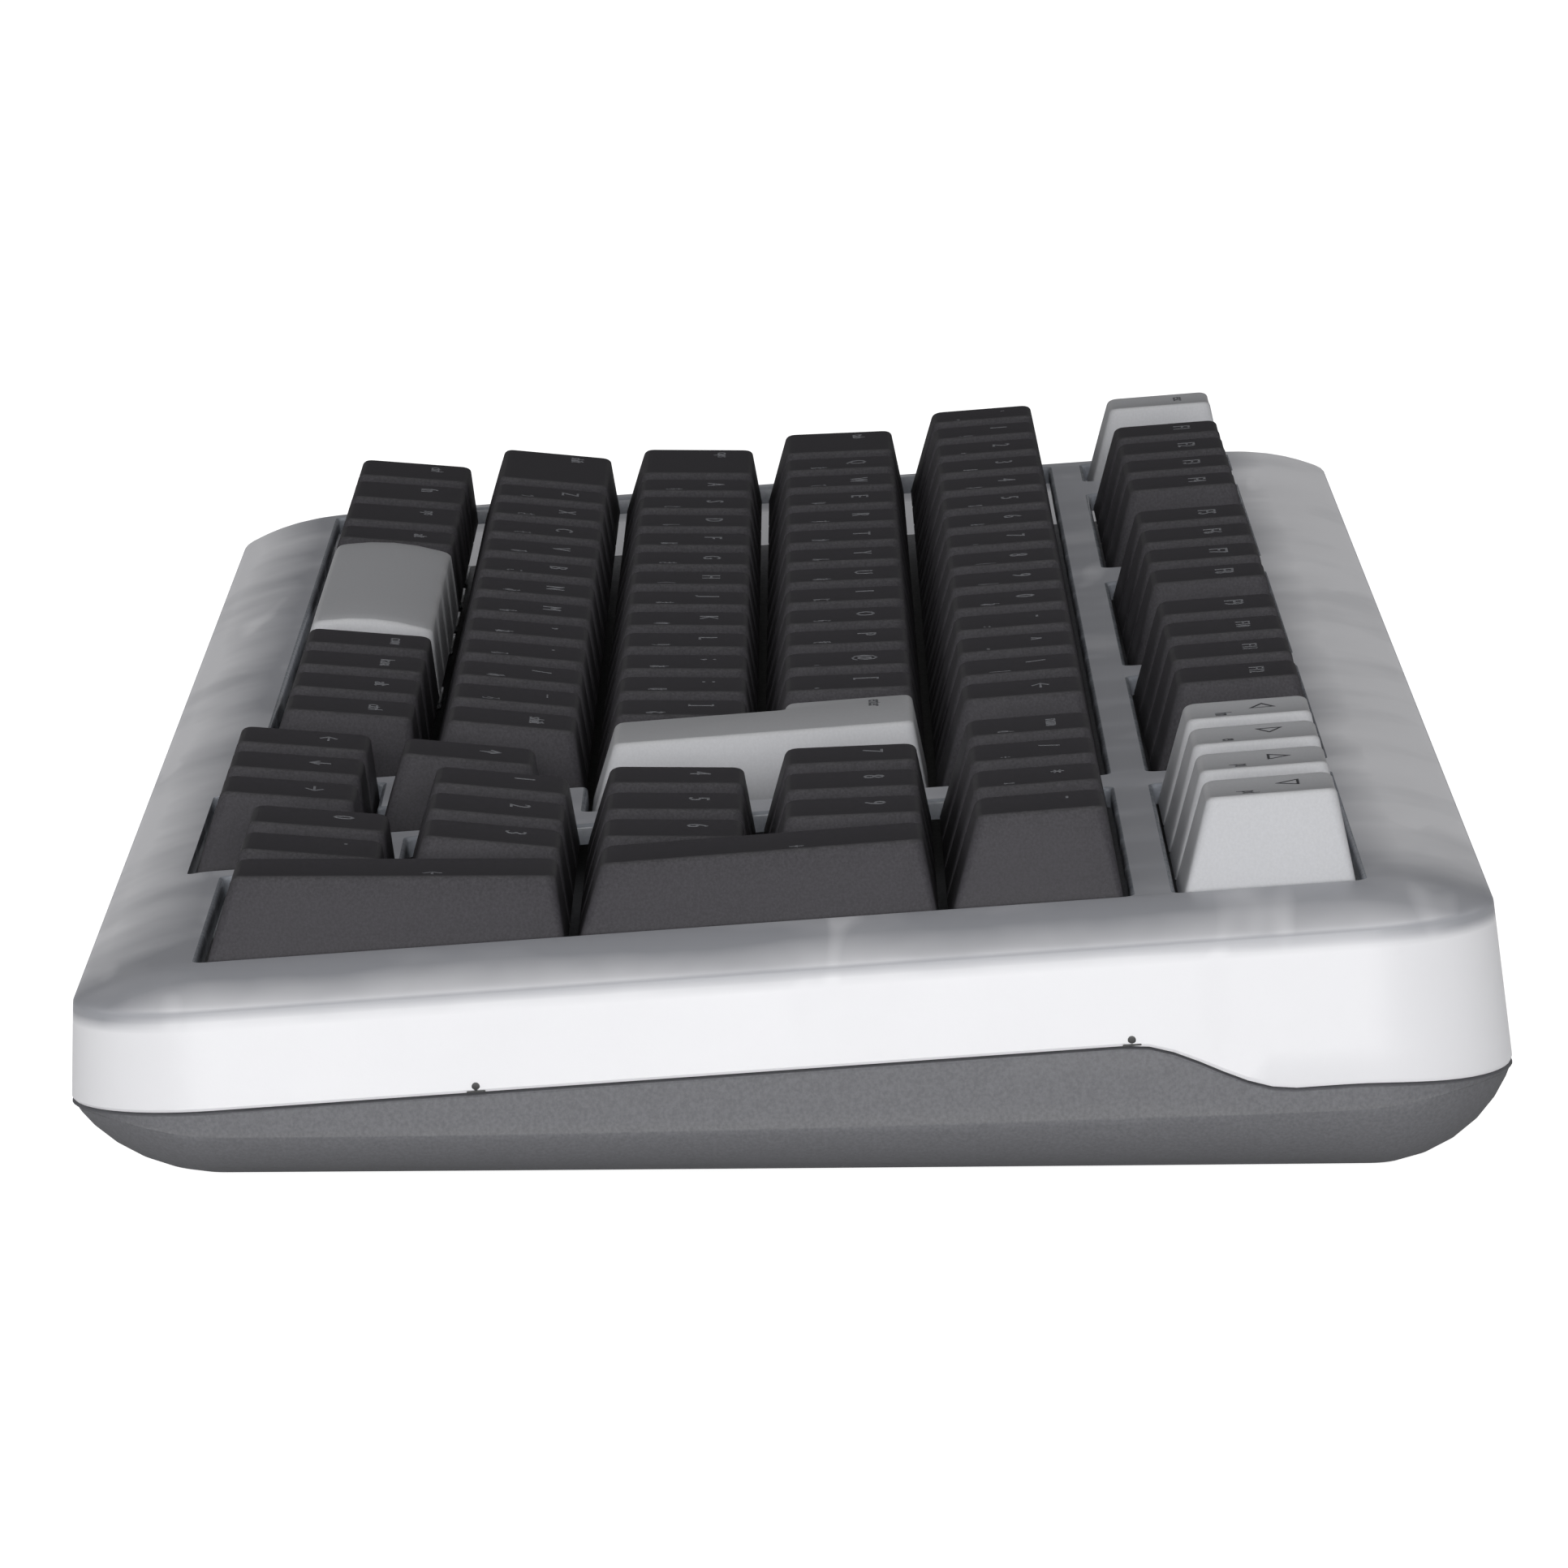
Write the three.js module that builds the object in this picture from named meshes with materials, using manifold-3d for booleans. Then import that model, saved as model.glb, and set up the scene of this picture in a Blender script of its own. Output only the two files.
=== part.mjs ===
// A 102-key mechanical keyboard: frosted top case, dark tray, keycaps, switches, boards, feet and screws.
// Millimetres, +Z up. The user sits on the -Y side and the number pad is at the +X end.
import * as THREE from 'three';
import { mergeVertices } from 'three/addons/utils/BufferGeometryUtils.js';
import Module from 'manifold-3d';

const wasm = await Module();
wasm.setup();

// Driving dimensions.
const unit = 19.05; // pitch of the keys
const blockUnits = 19.5; // length of the key block
const blockRight = (blockUnits * unit) / 2;
const typingAngle = THREE.MathUtils.degToRad(3.75); // slope of the key plane, rising to the rear
const functionRowGap = 4.6; // extra space in front of the function row
const arrowShift = 4.2; // the arrow keys sit this much nearer the user
const touchGap = 0.3;

// The case, in the key plane: z = 0 is the top of the bezel, y = 0 the middle of the front row.
const caseEdge = { left: -blockRight - 14.2, right: blockRight + 12.4, front: -21.4, rear: 122 };
const cornerRadius = 14.5;
const foldHeight = -3.6; // where the pillowed top turns into the wall
const wallDraft = 0.09; // outward lean of the wall per millimetre down
const shellThickness = 2.2;
const seamHeight = -13.3;
const seamRearHeight = -18.8;
const seamDropStart = 84;
const seamDropEnd = 101;

// The tray, level with the table: heights are below the front row's middle.
const trayFloor = -22;
const trayThickness = 2;
const ground = -23;
const battery = { x: [-58, 58], y: [46, 92], z: [-19.7, -14.8] };
const restPad = { x: 158, width: 40, depth: 5, frontY: -1, rearY: 108.6, height: 0.95 };

// The flip-out feet: folded flat in a pocket of the tray, hinged at the rear.
const foot = {
  x: 152,
  width: 36,
  length: 17,
  thickness: 3,
  hingeY: 100,
  hingeZ: -20.1,
  pin: 1.2,
  pinReach: 1.9,
};
const pocket = { side: 1.2, depth: 4.4, wall: 1.4, front: 1.2, rear: 1.4 };
const footSides = [-foot.x, foot.x];

// Keycaps: base at the bezel, and for each row the front and rear top edges as [y, z].
const capBase = 18.1;
const capBottom = -1.8;
const capTopWidth = 12.2;
const capWall = 1.4;
const capTopThickness = 1.6;
const rowTops = [
  { front: [-5.4, 8.1], rear: [8.7, 6.0] },
  { front: [-5.5, 8.1], rear: [8.4, 5.8] },
  { front: [-5.9, 6.7], rear: [8.3, 5.6] },
  { front: [-6.0, 7.3], rear: [7.9, 6.9] },
  { front: [-5.4, 8.9], rear: [7.6, 9.0] },
  { front: [-5.6, 9.0], rear: [7.6, 9.1] },
];
const postSize = 4.4;
const postBottom = -4.6;
const webWidth = 4; // the low web that ties neighbouring caps of one group
const webTop = -0.6;

// What lies under the keys.
const housing = { size: 13.4, topSize: 10.2, top: -2, bottom: -12.9, well: 6, wellBottom: -10.6 };
const filmThickness = 0.4;
const plate = { top: -8, thickness: 1.5, hole: 14, marginX: 1.8, front: -15, rear: 111.6 };
const board = { top: -13.2, thickness: 1.6 };
const pad = { top: -15.1, thickness: 2.2 };

// Screws run up through the tray in to bosses of the top case.
const screw = { shaft: 1.3, head: 2.4, headHeight: 1.8, sunk: 3.3, bossTop: -4, bossJoint: -14.2 };
const bossRadius = 3;
const tubeRadius = 3.6;
const screwX = 182;
const screwRows = [caseEdge.front + 7.4, caseEdge.rear - 9];
const screwPlaces = [-screwX, screwX].flatMap((x) => screwRows.map((y) => [x, y]));

// Openings in the rear wall for the USB port and the power switch, and the switch's slider.
const rearSlot = {
  usbX: 120,
  usbWidth: 9.6,
  usbHeight: 3.9,
  switchX: 88,
  switchWidth: 10,
  switchHeight: 3.4,
  z: -11,
};
const slider = { width: 3.6, travel: 4, height: 2.6, proud: 0.9 };

// Key openings as first row, last row, from and to in units from the right, and a shift in y.
const keyOpenings = [
  [1, 1, 6.5, 19.5],
  [2, 2, 5.5, 19.5],
  [3, 5, 4.5, 19.5],
  [1, 1, 0, 3],
  [2, 5, 0, 4],
  [6, 6, 0, 4],
  [6, 6, 4.5, 8.5],
  [6, 6, 9, 13],
  [6, 6, 13.75, 17.75],
  [6, 6, 18.5, 19.5],
  [1, 1, 3.25, 6.25, -arrowShift],
  [2, 2, 4.25, 5.25, -arrowShift],
];

// ---- geometry helpers ----

// A closed solid from rings with the same number of points, each ring convex, lowest first.
function loft(rings) {
  const count = rings[0].length;
  const positions = rings.flat().flatMap((point) => [point.x, point.y, point.z]);
  const index = [];
  for (let ring = 0; ring < rings.length - 1; ring += 1) {
    for (let i = 0; i < count; i += 1) {
      const low = ring * count + i;
      const next = ring * count + ((i + 1) % count);
      index.push(low, next, next + count, low, next + count, low + count);
    }
  }
  const lastRing = (rings.length - 1) * count;
  for (let i = 1; i < count - 1; i += 1) {
    index.push(0, i + 1, i);
    index.push(lastRing, lastRing + i, lastRing + i + 1);
  }
  const geometry = new THREE.BufferGeometry();
  geometry.setAttribute('position', new THREE.Float32BufferAttribute(positions, 3));
  geometry.setIndex(index);
  return geometry;
}

// A rounded rectangle, counter-clockwise seen from above; height is a number or a function of x and y.
function roundedRing(edge, radius, height, steps = 4) {
  const corners = [
    [edge.right, edge.front, -90],
    [edge.right, edge.rear, 0],
    [edge.left, edge.rear, 90],
    [edge.left, edge.front, 180],
  ];
  const heightAt = typeof height === 'function' ? height : () => height;
  return corners.flatMap(([cornerX, cornerY, startAngle]) => {
    const centreX = cornerX - Math.sign(cornerX - (edge.left + edge.right) / 2) * radius;
    const centreY = cornerY - Math.sign(cornerY - (edge.front + edge.rear) / 2) * radius;
    return Array.from({ length: steps + 1 }, (_, i) => {
      const angle = THREE.MathUtils.degToRad(startAngle + (90 * i) / steps);
      const x = centreX + radius * Math.cos(angle);
      const y = centreY + radius * Math.sin(angle);
      return new THREE.Vector3(x, y, heightAt(x, y));
    });
  });
}

function inset(edge, amount) {
  return {
    left: edge.left + amount,
    right: edge.right - amount,
    front: edge.front + amount,
    rear: edge.rear - amount,
  };
}

function toSolid(geometry) {
  const plain = geometry.clone();
  plain.deleteAttribute('normal');
  plain.deleteAttribute('uv');
  const merged = mergeVertices(plain, 1e-4);
  return new wasm.Manifold(new wasm.Mesh({
    numProp: 3,
    vertProperties: new Float32Array(merged.attributes.position.array),
    triVerts: new Uint32Array(merged.index.array),
  }));
}

function toGeometry(solid) {
  const mesh = solid.getMesh();
  const geometry = new THREE.BufferGeometry();
  geometry.setAttribute('position', new THREE.Float32BufferAttribute(mesh.vertProperties, 3));
  geometry.setIndex(Array.from(mesh.triVerts));
  return geometry;
}

// A solid box between two corners.
function box([x0, y0, z0], [x1, y1, z1]) {
  const geometry = new THREE.BoxGeometry(x1 - x0, y1 - y0, z1 - z0);
  return toSolid(geometry.translate((x0 + x1) / 2, (y0 + y1) / 2, (z0 + z1) / 2));
}

// An upright solid cylinder.
function post(x, y, bottom, top, radius, sides = 12) {
  const geometry = new THREE.CylinderGeometry(radius, radius, top - bottom, sides);
  return toSolid(geometry.rotateX(Math.PI / 2).translate(x, y, (bottom + top) / 2));
}

// A four-sided block with a rectangular base and a top of its own size and slope.
function block(base, top) {
  const ring = (rect) => [
    new THREE.Vector3(rect.left, rect.front, rect.frontHeight),
    new THREE.Vector3(rect.right, rect.front, rect.frontHeight),
    new THREE.Vector3(rect.right, rect.rear, rect.rearHeight),
    new THREE.Vector3(rect.left, rect.rear, rect.rearHeight),
  ];
  return toSolid(loft([ring(base), ring(top)]));
}

function join(solids) {
  return wasm.Manifold.union(solids);
}

// From the level frame of the table to the sloping frame of the keys.
function toKeyPlane(geometry) {
  return geometry.rotateX(-typingAngle);
}

// ---- layout of the keys ----

const rowCentre = (row) => (row - 1) * unit + (row === 6 ? functionRowGap : 0);
const unitX = (units) => blockRight - units * unit;

// A key spans from and to, in units from the right-hand end of the block.
function key(row, from, to, extra = {}) {
  return { row, from, to, ...extra };
}

function run(row, from, count) {
  return Array.from({ length: count }, (_, i) => key(row, from + i, from + i + 1));
}

const charcoal = 0x3a383c;
const lightGrey = 0xb4b5ba;

const keyGroups = {
  esc_key: { colour: lightGrey, keys: [key(6, 18.5, 19.5)] },
  f1_to_f4_keys: { keys: run(6, 13.75, 4) },
  f5_to_f8_keys: { keys: run(6, 9, 4) },
  f9_to_f12_keys: { keys: run(6, 4.5, 4) },
  corner_key_1: { colour: lightGrey, keys: [key(6, 3, 4)] },
  corner_key_2: { colour: lightGrey, keys: [key(6, 2, 3)] },
  corner_key_3: { colour: lightGrey, keys: [key(6, 1, 2)] },
  corner_key_4: { colour: lightGrey, keys: [key(6, 0, 1)] },
  number_row_keys: { keys: run(5, 5.5, 14) },
  backspace_key: { keys: [key(5, 4.5, 5.5)] },
  num_lock_key: { keys: [key(5, 3, 4)] },
  numpad_divide_key: { keys: [key(5, 2, 3)] },
  numpad_multiply_key: { keys: [key(5, 1, 2)] },
  numpad_minus_key: { keys: [key(5, 0, 1)] },
  tab_key: { keys: [key(4, 18, 19.5)] },
  upper_letter_keys: { keys: run(4, 6, 12) },
  enter_key: { colour: lightGrey, keys: [key(4, 4.5, 6), key(3, 4.5, 5.75)], joined: true },
  caps_lock_key: { keys: [key(3, 17.75, 19.5)] },
  home_row_keys: { keys: run(3, 5.75, 12) },
  left_shift_key: { keys: [key(2, 17.5, 19.5)] },
  lower_letter_keys: { keys: run(2, 6.5, 11) },
  right_shift_key: { keys: [key(2, 5.5, 6.5)] },
  left_control_key: { keys: [key(1, 18.25, 19.5)] },
  function_key: { keys: [key(1, 17, 18.25)] },
  left_system_key: { keys: [key(1, 15.75, 17)] },
  left_alt_key: { keys: [key(1, 14.75, 15.75)] },
  space_bar: { colour: lightGrey, keys: [key(1, 10.5, 14.75)] },
  right_modifier_keys: { keys: run(1, 6.5, 4) },
  up_arrow_key: { keys: [key(2, 4.25, 5.25, { shift: -arrowShift })] },
  left_arrow_key: { keys: [key(1, 5.25, 6.25, { shift: -arrowShift })] },
  down_arrow_key: { keys: [key(1, 4.25, 5.25, { shift: -arrowShift })] },
  right_arrow_key: { keys: [key(1, 3.25, 4.25, { shift: -arrowShift })] },
  numpad_7_to_9_keys: { keys: run(4, 1, 3) },
  numpad_4_to_6_keys: { keys: run(3, 1, 3) },
  numpad_1_to_3_keys: { keys: run(2, 1, 3) },
  numpad_0_and_point_keys: { keys: run(1, 1, 2) },
  numpad_plus_key: { keys: [key(3, 0, 1, { rows: 2 })] },
  numpad_enter_key: { keys: [key(1, 0, 1, { rows: 2 })] },
};

// The rectangle of the table that one key fills, and the top edges of its cap.
function keyShape({ row, from, to, shift = 0, rows = 1 }) {
  const front = rowTops[row - 1].front;
  const rear = rowTops[row + rows - 2].rear;
  const spare = (unit - capBase) / 2;
  const topSpare = (unit - capTopWidth) / 2;
  const frontCentre = rowCentre(row) + shift;
  const rearCentre = rowCentre(row + rows - 1) + shift;
  return {
    base: {
      left: unitX(to) + spare,
      right: unitX(from) - spare,
      front: frontCentre - capBase / 2,
      rear: rearCentre + capBase / 2,
      frontHeight: capBottom,
      rearHeight: capBottom,
    },
    top: {
      left: unitX(to) + topSpare,
      right: unitX(from) - topSpare,
      front: frontCentre + front[0],
      rear: rearCentre + rear[0],
      frontHeight: front[1],
      rearHeight: rear[1],
    },
    centre: [(unitX(from) + unitX(to)) / 2, (frontCentre + rearCentre) / 2],
  };
}

// The switch of a group's keys: one for each key, and one in the middle of the stepped enter key.
function switchCentres({ keys, joined }) {
  const centres = keys.map((each) => keyShape(each).centre);
  return joined ? [[centres[0][0], (centres[0][1] + centres[1][1]) / 2]] : centres;
}

// ---- keycaps ----

function shrink(rect, amount, drop) {
  return {
    ...inset(rect, amount),
    frontHeight: rect.frontHeight - drop,
    rearHeight: rect.rearHeight - drop,
  };
}

// A cap's outside, and the hollow inside it.
function capSolids({ base, top }) {
  const hollowBase = shrink(base, capWall, touchGap);
  return { outside: block(base, top), hollow: block(hollowBase, shrink(top, capWall, capTopThickness)) };
}

// The low web that ties a group's cap to its right-hand neighbour.
function web(each) {
  const { base, centre } = keyShape(each);
  const end = base.right + unit - capBase + capWall / 2;
  const half = webWidth / 2;
  return box([base.right - capWall, centre[1] - half, capBottom], [end, centre[1] + half, webTop]);
}

// The square post under a cap's top that presses the switch.
function mountPost([x, y], each) {
  const { top } = keyShape(each);
  const share = (y - top.front) / (top.rear - top.front);
  const topHeight = THREE.MathUtils.lerp(top.frontHeight, top.rearHeight, share) - capTopThickness / 2;
  const half = postSize / 2;
  return box([x - half, y - half, postBottom], [x + half, y + half, topHeight]);
}

function keycapGroup(group) {
  const shapes = group.keys.map(keyShape);
  const caps = (group.joined ? [shapes[0], stepShape(shapes)] : shapes).map(capSolids);
  const outside = join(caps.map((cap) => cap.outside));
  const hollow = join(caps.map((cap) => cap.hollow));
  const posts = switchCentres(group).map((centre, i) => mountPost(centre, group.keys[i]));
  const webs = group.joined ? [] : group.keys.slice(1).map(web);
  return join([outside.subtract(hollow), ...posts, ...webs]);
}

// The narrow half of the stepped enter key, run on to the rear of the wide half.
function stepShape([upper, lower]) {
  return {
    base: { ...lower.base, rear: upper.base.rear },
    top: { ...lower.top, rear: upper.top.rear, rearHeight: upper.top.rearHeight },
  };
}

// ---- case ----

// Everything above the seam between the top case and the tray, or everything below it.
function seamCutter(above, clearance) {
  const far = 300;
  const lift = above ? clearance : -clearance;
  const outline = new THREE.Shape();
  outline.moveTo(-far, seamHeight + lift);
  outline.lineTo(seamDropStart, seamHeight + lift);
  const steps = 6;
  for (let i = 1; i <= steps; i += 1) {
    const share = i / steps;
    const fall = (1 - Math.cos(Math.PI * share)) / 2;
    const y = seamDropStart + (seamDropEnd - seamDropStart) * share;
    outline.lineTo(y, seamHeight + lift + (seamRearHeight - seamHeight) * fall);
  }
  outline.lineTo(far, seamRearHeight + lift);
  outline.lineTo(far, above ? far : -far);
  outline.lineTo(-far, above ? far : -far);
  const slab = new THREE.ExtrudeGeometry(outline, { depth: 2 * far, bevelEnabled: false });
  slab.applyMatrix4(new THREE.Matrix4().makeBasis(
    new THREE.Vector3(0, 1, 0), new THREE.Vector3(0, 0, 1), new THREE.Vector3(1, 0, 0)));
  return toSolid(slab.translate(-far, 0, 0));
}

function openingSolid([firstRow, lastRow, from, to, shift = 0]) {
  const front = rowCentre(firstRow) + shift - unit / 2;
  const rear = rowCentre(lastRow) + shift + unit / 2;
  return box([unitX(to), front, -6], [unitX(from), rear, 2]);
}

// The lower face of a screw's head, sunk into the rounded edge of the tray.
function screwBottom(y) {
  return (trayFloor + screw.sunk - y * Math.sin(typingAngle)) / Math.cos(typingAngle);
}

const caseDepth = -24; // the wall is made this deep, and then cut off at the seam
const wallSpread = (foldHeight - caseDepth) * wallDraft;
const pillow = [[0.8, -2.9], [3.6, -1.6], [7.4, -0.5]]; // rounding of the bezel as inset and height
const bezelRun = 11.6; // from the wall to the flat of the bezel

function topCaseOutside() {
  return toSolid(loft([
    roundedRing(inset(caseEdge, -wallSpread), cornerRadius + wallSpread, caseDepth),
    roundedRing(caseEdge, cornerRadius, foldHeight),
    ...pillow.map(([amount, height]) => roundedRing(inset(caseEdge, amount), cornerRadius - amount, height)),
    roundedRing(inset(caseEdge, bezelRun), 2, 0),
  ]));
}

function topCaseHollow() {
  const inner = inset(caseEdge, shellThickness);
  const radius = cornerRadius - shellThickness;
  const bend = 7;
  return toSolid(loft([
    roundedRing(inset(inner, -wallSpread), radius + wallSpread, caseDepth - 1),
    roundedRing(inner, radius, foldHeight - 1.2),
    roundedRing(inset(inner, bend), radius - bend, -shellThickness),
  ]));
}

function rearOpening(x, width, height) {
  const reach = 6;
  const low = [x - width / 2, caseEdge.rear - reach, rearSlot.z - height / 2];
  const high = [x + width / 2, caseEdge.rear + reach, rearSlot.z + height / 2];
  return box(low, high);
}

function topCase() {
  const { bossTop, bossJoint, shaft } = screw;
  const bosses = screwPlaces.map(([x, y]) => post(x, y, bossJoint + 1.2, bossTop + 2, bossRadius));
  const cuts = [
    ...screwPlaces.map(([x, y]) => post(x, y, bossJoint - 1, bossTop, shaft + touchGap)),
    ...keyOpenings.map(openingSolid),
    rearOpening(rearSlot.usbX, rearSlot.usbWidth, rearSlot.usbHeight),
    rearOpening(rearSlot.switchX, rearSlot.switchWidth, rearSlot.switchHeight),
  ];
  const shell = topCaseOutside().subtract(topCaseHollow()).intersect(seamCutter(true, touchGap / 2));
  return join([shell, ...bosses]).subtract(join(cuts));
}

// Turns a solid made level with the table in to the frame of the keys.
function level(solid) {
  return toSolid(toKeyPlane(toGeometry(solid)));
}

// A ring of the tray that stays level, or rises by tilt for each millimetre to the rear.
function levelRing(edge, radius, height, tilt = 0) {
  return roundedRing(edge, radius, (x, y) =>
    (height + tilt * y) / Math.cos(typingAngle) - y * Math.tan(typingAngle));
}

function trayOutside() {
  const rim = 0.9; // the tray is this much wider than the fold of the case
  return toSolid(loft([
    levelRing(inset(caseEdge, 15), 5, trayFloor),
    levelRing(inset(caseEdge, 8), 8, trayFloor + 1.2),
    levelRing(inset(caseEdge, 3), 12, trayFloor + 3.6, 0.004),
    levelRing(inset(caseEdge, 0.2), cornerRadius, trayFloor + 6, 0.012),
    roundedRing(inset(caseEdge, -rim), cornerRadius + rim, -10),
  ]));
}

function trayHollow() {
  const inner = inset(caseEdge, trayThickness);
  return toSolid(loft([
    levelRing(inset(inner, 12), 5, trayFloor + trayThickness),
    levelRing(inset(inner, 2), 9, trayFloor + trayThickness + 3.4),
    roundedRing(inner, cornerRadius - trayThickness, -9),
  ]));
}

function pocketBox(x, extra, top) {
  const half = foot.width / 2 + pocket.side + extra;
  const rear = foot.hingeY + foot.thickness / 2 + pocket.rear + extra;
  const front = foot.hingeY - foot.length - pocket.front - extra;
  return level(box([x - half, front, trayFloor - 2 + extra], [x + half, rear, top]));
}

function footPinHole(x, side) {
  const start = x + (side * foot.width) / 2;
  const end = start + side * (pocket.side + 1.1);
  return level(crossCylinder(start, end, foot.hingeY, foot.hingeZ, foot.pin + touchGap));
}

// The clearance hole for a screw's shaft, and the wider one that its head drops in to.
function screwHoles([x, y]) {
  const far = -40;
  const headTop = screwBottom(y) + screw.headHeight;
  return [
    post(x, y, far, screw.bossJoint + 2, screw.shaft + touchGap),
    post(x, y, far, headTop + touchGap, screw.head + touchGap),
  ];
}

function tray() {
  const outside = trayOutside();
  const tubes = screwPlaces.map(([x, y]) =>
    post(x, y, screwBottom(y) - 1.4, screw.bossJoint, tubeRadius).intersect(outside));
  const roof = trayFloor + pocket.depth;
  const pocketShells = footSides.map((x) => pocketBox(x, pocket.wall, roof + pocket.wall));
  const shell = join([outside.subtract(trayHollow()), ...tubes, ...pocketShells]);
  const cuts = [
    level(box([-300, -100, trayFloor - 20], [300, 200, trayFloor])),
    ...footSides.map((x) => pocketBox(x, 0, roof)),
    ...footSides.flatMap((x) => [-1, 1].map((side) => footPinHole(x, side))),
    ...screwPlaces.flatMap(screwHoles),
  ];
  return shell.subtract(join(cuts)).intersect(seamCutter(false, touchGap / 2));
}

// A solid cylinder lying along X.
function crossCylinder(x0, x1, y, z, radius, sides = 20) {
  const geometry = new THREE.CylinderGeometry(radius, radius, Math.abs(x1 - x0), sides);
  return toSolid(geometry.rotateZ(Math.PI / 2).translate((x0 + x1) / 2, y, z));
}

function flipFoot(x) {
  const half = foot.width / 2;
  const { hingeY, hingeZ, thickness } = foot;
  const bottom = hingeZ - thickness / 2;
  const leaf = box([x - half, hingeY - foot.length, bottom], [x + half, hingeY, bottom + thickness]);
  const barrel = crossCylinder(x - half, x + half, hingeY, hingeZ, thickness / 2);
  const pin = crossCylinder(x - half - foot.pinReach, x + half + foot.pinReach, hingeY, hingeZ, foot.pin);
  return join([leaf, barrel, pin]);
}

// ---- boards, switches and fittings ----

const allGroups = Object.values(keyGroups);
const centres = allGroups.flatMap(switchCentres);
const plateEdge = {
  left: -blockRight - plate.marginX,
  right: blockRight + plate.marginX,
  front: plate.front,
  rear: plate.rear,
};

const boardEdge = { ...inset(plateEdge, 0.6), rear: 118 };

function sheet(edge, radius, top, thickness) {
  return toSolid(loft([roundedRing(edge, radius, top - thickness, 3), roundedRing(edge, radius, top, 3)]));
}

// A sheet notched to clear the screw bosses.
function boardSheet(edge, top, thickness) {
  const notches = screwPlaces.map(([x, y]) =>
    post(x, y, top - thickness - 1, top + 1, tubeRadius + touchGap));
  return sheet(edge, 2, top, thickness).subtract(join(notches));
}

function switchPlate() {
  const half = plate.hole / 2;
  const holes = centres.map(([x, y]) =>
    box([x - half, y - half, plate.top - plate.thickness - 1], [x + half, y + half, plate.top + 1]));
  return boardSheet(plateEdge, plate.top, plate.thickness).subtract(join(holes));
}

// A level square round a point.
function square([x, y], size, height) {
  const half = size / 2;
  return {
    left: x - half,
    right: x + half,
    front: y - half,
    rear: y + half,
    frontHeight: height,
    rearHeight: height,
  };
}

function switchHousings() {
  const { size, topSize, top, bottom, well, wellBottom } = housing;
  const film = boardSheet(inset(plateEdge, 2), bottom + filmThickness, filmThickness);
  const bodies = centres.map((centre) =>
    block(square(centre, size, bottom), square(centre, topSize, top)));
  const wells = centres.map((centre) => block(square(centre, well, wellBottom), square(centre, well, 0)));
  return join([film, ...bodies]).subtract(join(wells));
}

const rearInside = caseEdge.rear - shellThickness;

function usbPort() {
  const { usbX, z } = rearSlot;
  const outer = box([usbX - 4.45, rearInside - 6.4, z - 1.6], [usbX + 4.45, rearInside + 1.9, z + 1.6]);
  const mouth = box([usbX - 4.15, rearInside - 5, z - 1.3], [usbX + 4.15, rearInside + 3, z + 1.3]);
  const tongue = box([usbX - 3.3, rearInside - 5.4, z - 0.35], [usbX + 3.3, rearInside + 0.8, z + 0.35]);
  return join([outer.subtract(mouth), tongue]);
}

function powerSwitchKnob() {
  const { switchX, z } = rearSlot;
  const x = switchX - slider.travel / 2;
  const half = slider.width / 2;
  const halfHeight = slider.height / 2;
  const end = caseEdge.rear + (foldHeight - z) * wallDraft + slider.proud;
  return box([x - half, rearInside - 2.2, z - halfHeight], [x + half, end, z + halfHeight]);
}

function powerSwitchBody() {
  const { switchX, z } = rearSlot;
  const body = box([switchX - 7, rearInside - 6.6, z - 1.9], [switchX + 7, rearInside - 0.8, z + 1.9]);
  const run = slider.travel / 2 + slider.width / 2 + touchGap;
  const track = box([switchX - run, rearInside - 2.6, z - 1.6], [switchX + run, rearInside + 1, z + 1.6]);
  return body.subtract(track);
}

function screwSolid([x, y]) {
  const bottom = screwBottom(y);
  const head = post(x, y, bottom, bottom + screw.headHeight, screw.head);
  const shaft = post(x, y, bottom + 0.5, screw.bossTop - 1.2, screw.shaft, 8);
  return join([head, shaft]);
}

function batteryPack() {
  const edge = { left: battery.x[0], right: battery.x[1], front: battery.y[0], rear: battery.y[1] };
  return sheet(edge, 2, battery.z[1], battery.z[1] - battery.z[0]);
}

function rubberPad(x, y) {
  const edge = {
    left: x - restPad.width / 2,
    right: x + restPad.width / 2,
    front: y - restPad.depth / 2,
    rear: y + restPad.depth / 2,
  };
  return toSolid(loft([
    roundedRing(inset(edge, 0.3), 2, ground, 2),
    roundedRing(edge, 2.3, ground + 0.4, 2),
    roundedRing(edge, 2.3, ground + restPad.height, 2),
  ]));
}

// ---- assembly ----

function mesh(name, solid, colour, roughness = 0.6, metalness = 0) {
  const material = new THREE.MeshStandardMaterial({ color: colour, roughness, metalness });
  const geometry = toGeometry(solid);
  geometry.computeVertexNormals();
  const node = new THREE.Mesh(geometry, material);
  node.name = name;
  return node;
}

const keyPlane = new THREE.Group();
keyPlane.rotation.x = typingAngle;
keyPlane.add(
  mesh('top_case', topCase(), 0xb9bbc2, 0.45),
  mesh('bottom_case', tray(), 0x5c5b60, 0.7),
  mesh('switch_plate', switchPlate(), 0x2c2d30, 0.5, 0.6),
  mesh('switch_housings', switchHousings(), 0xd8dce0, 0.3),
  mesh('circuit_board', boardSheet(boardEdge, board.top, board.thickness), 0x151a18, 0.5),
  mesh('silicone_pad', boardSheet(inset(plateEdge, 2.4), pad.top, pad.thickness), 0x77787c, 0.8),
  mesh('usb_port', usbPort(), 0xb8babd, 0.3, 0.9),
  mesh('power_switch', powerSwitchBody(), 0x28282a, 0.6),
  mesh('power_switch_knob', powerSwitchKnob(), 0x1d1d1f, 0.5),
);
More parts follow.
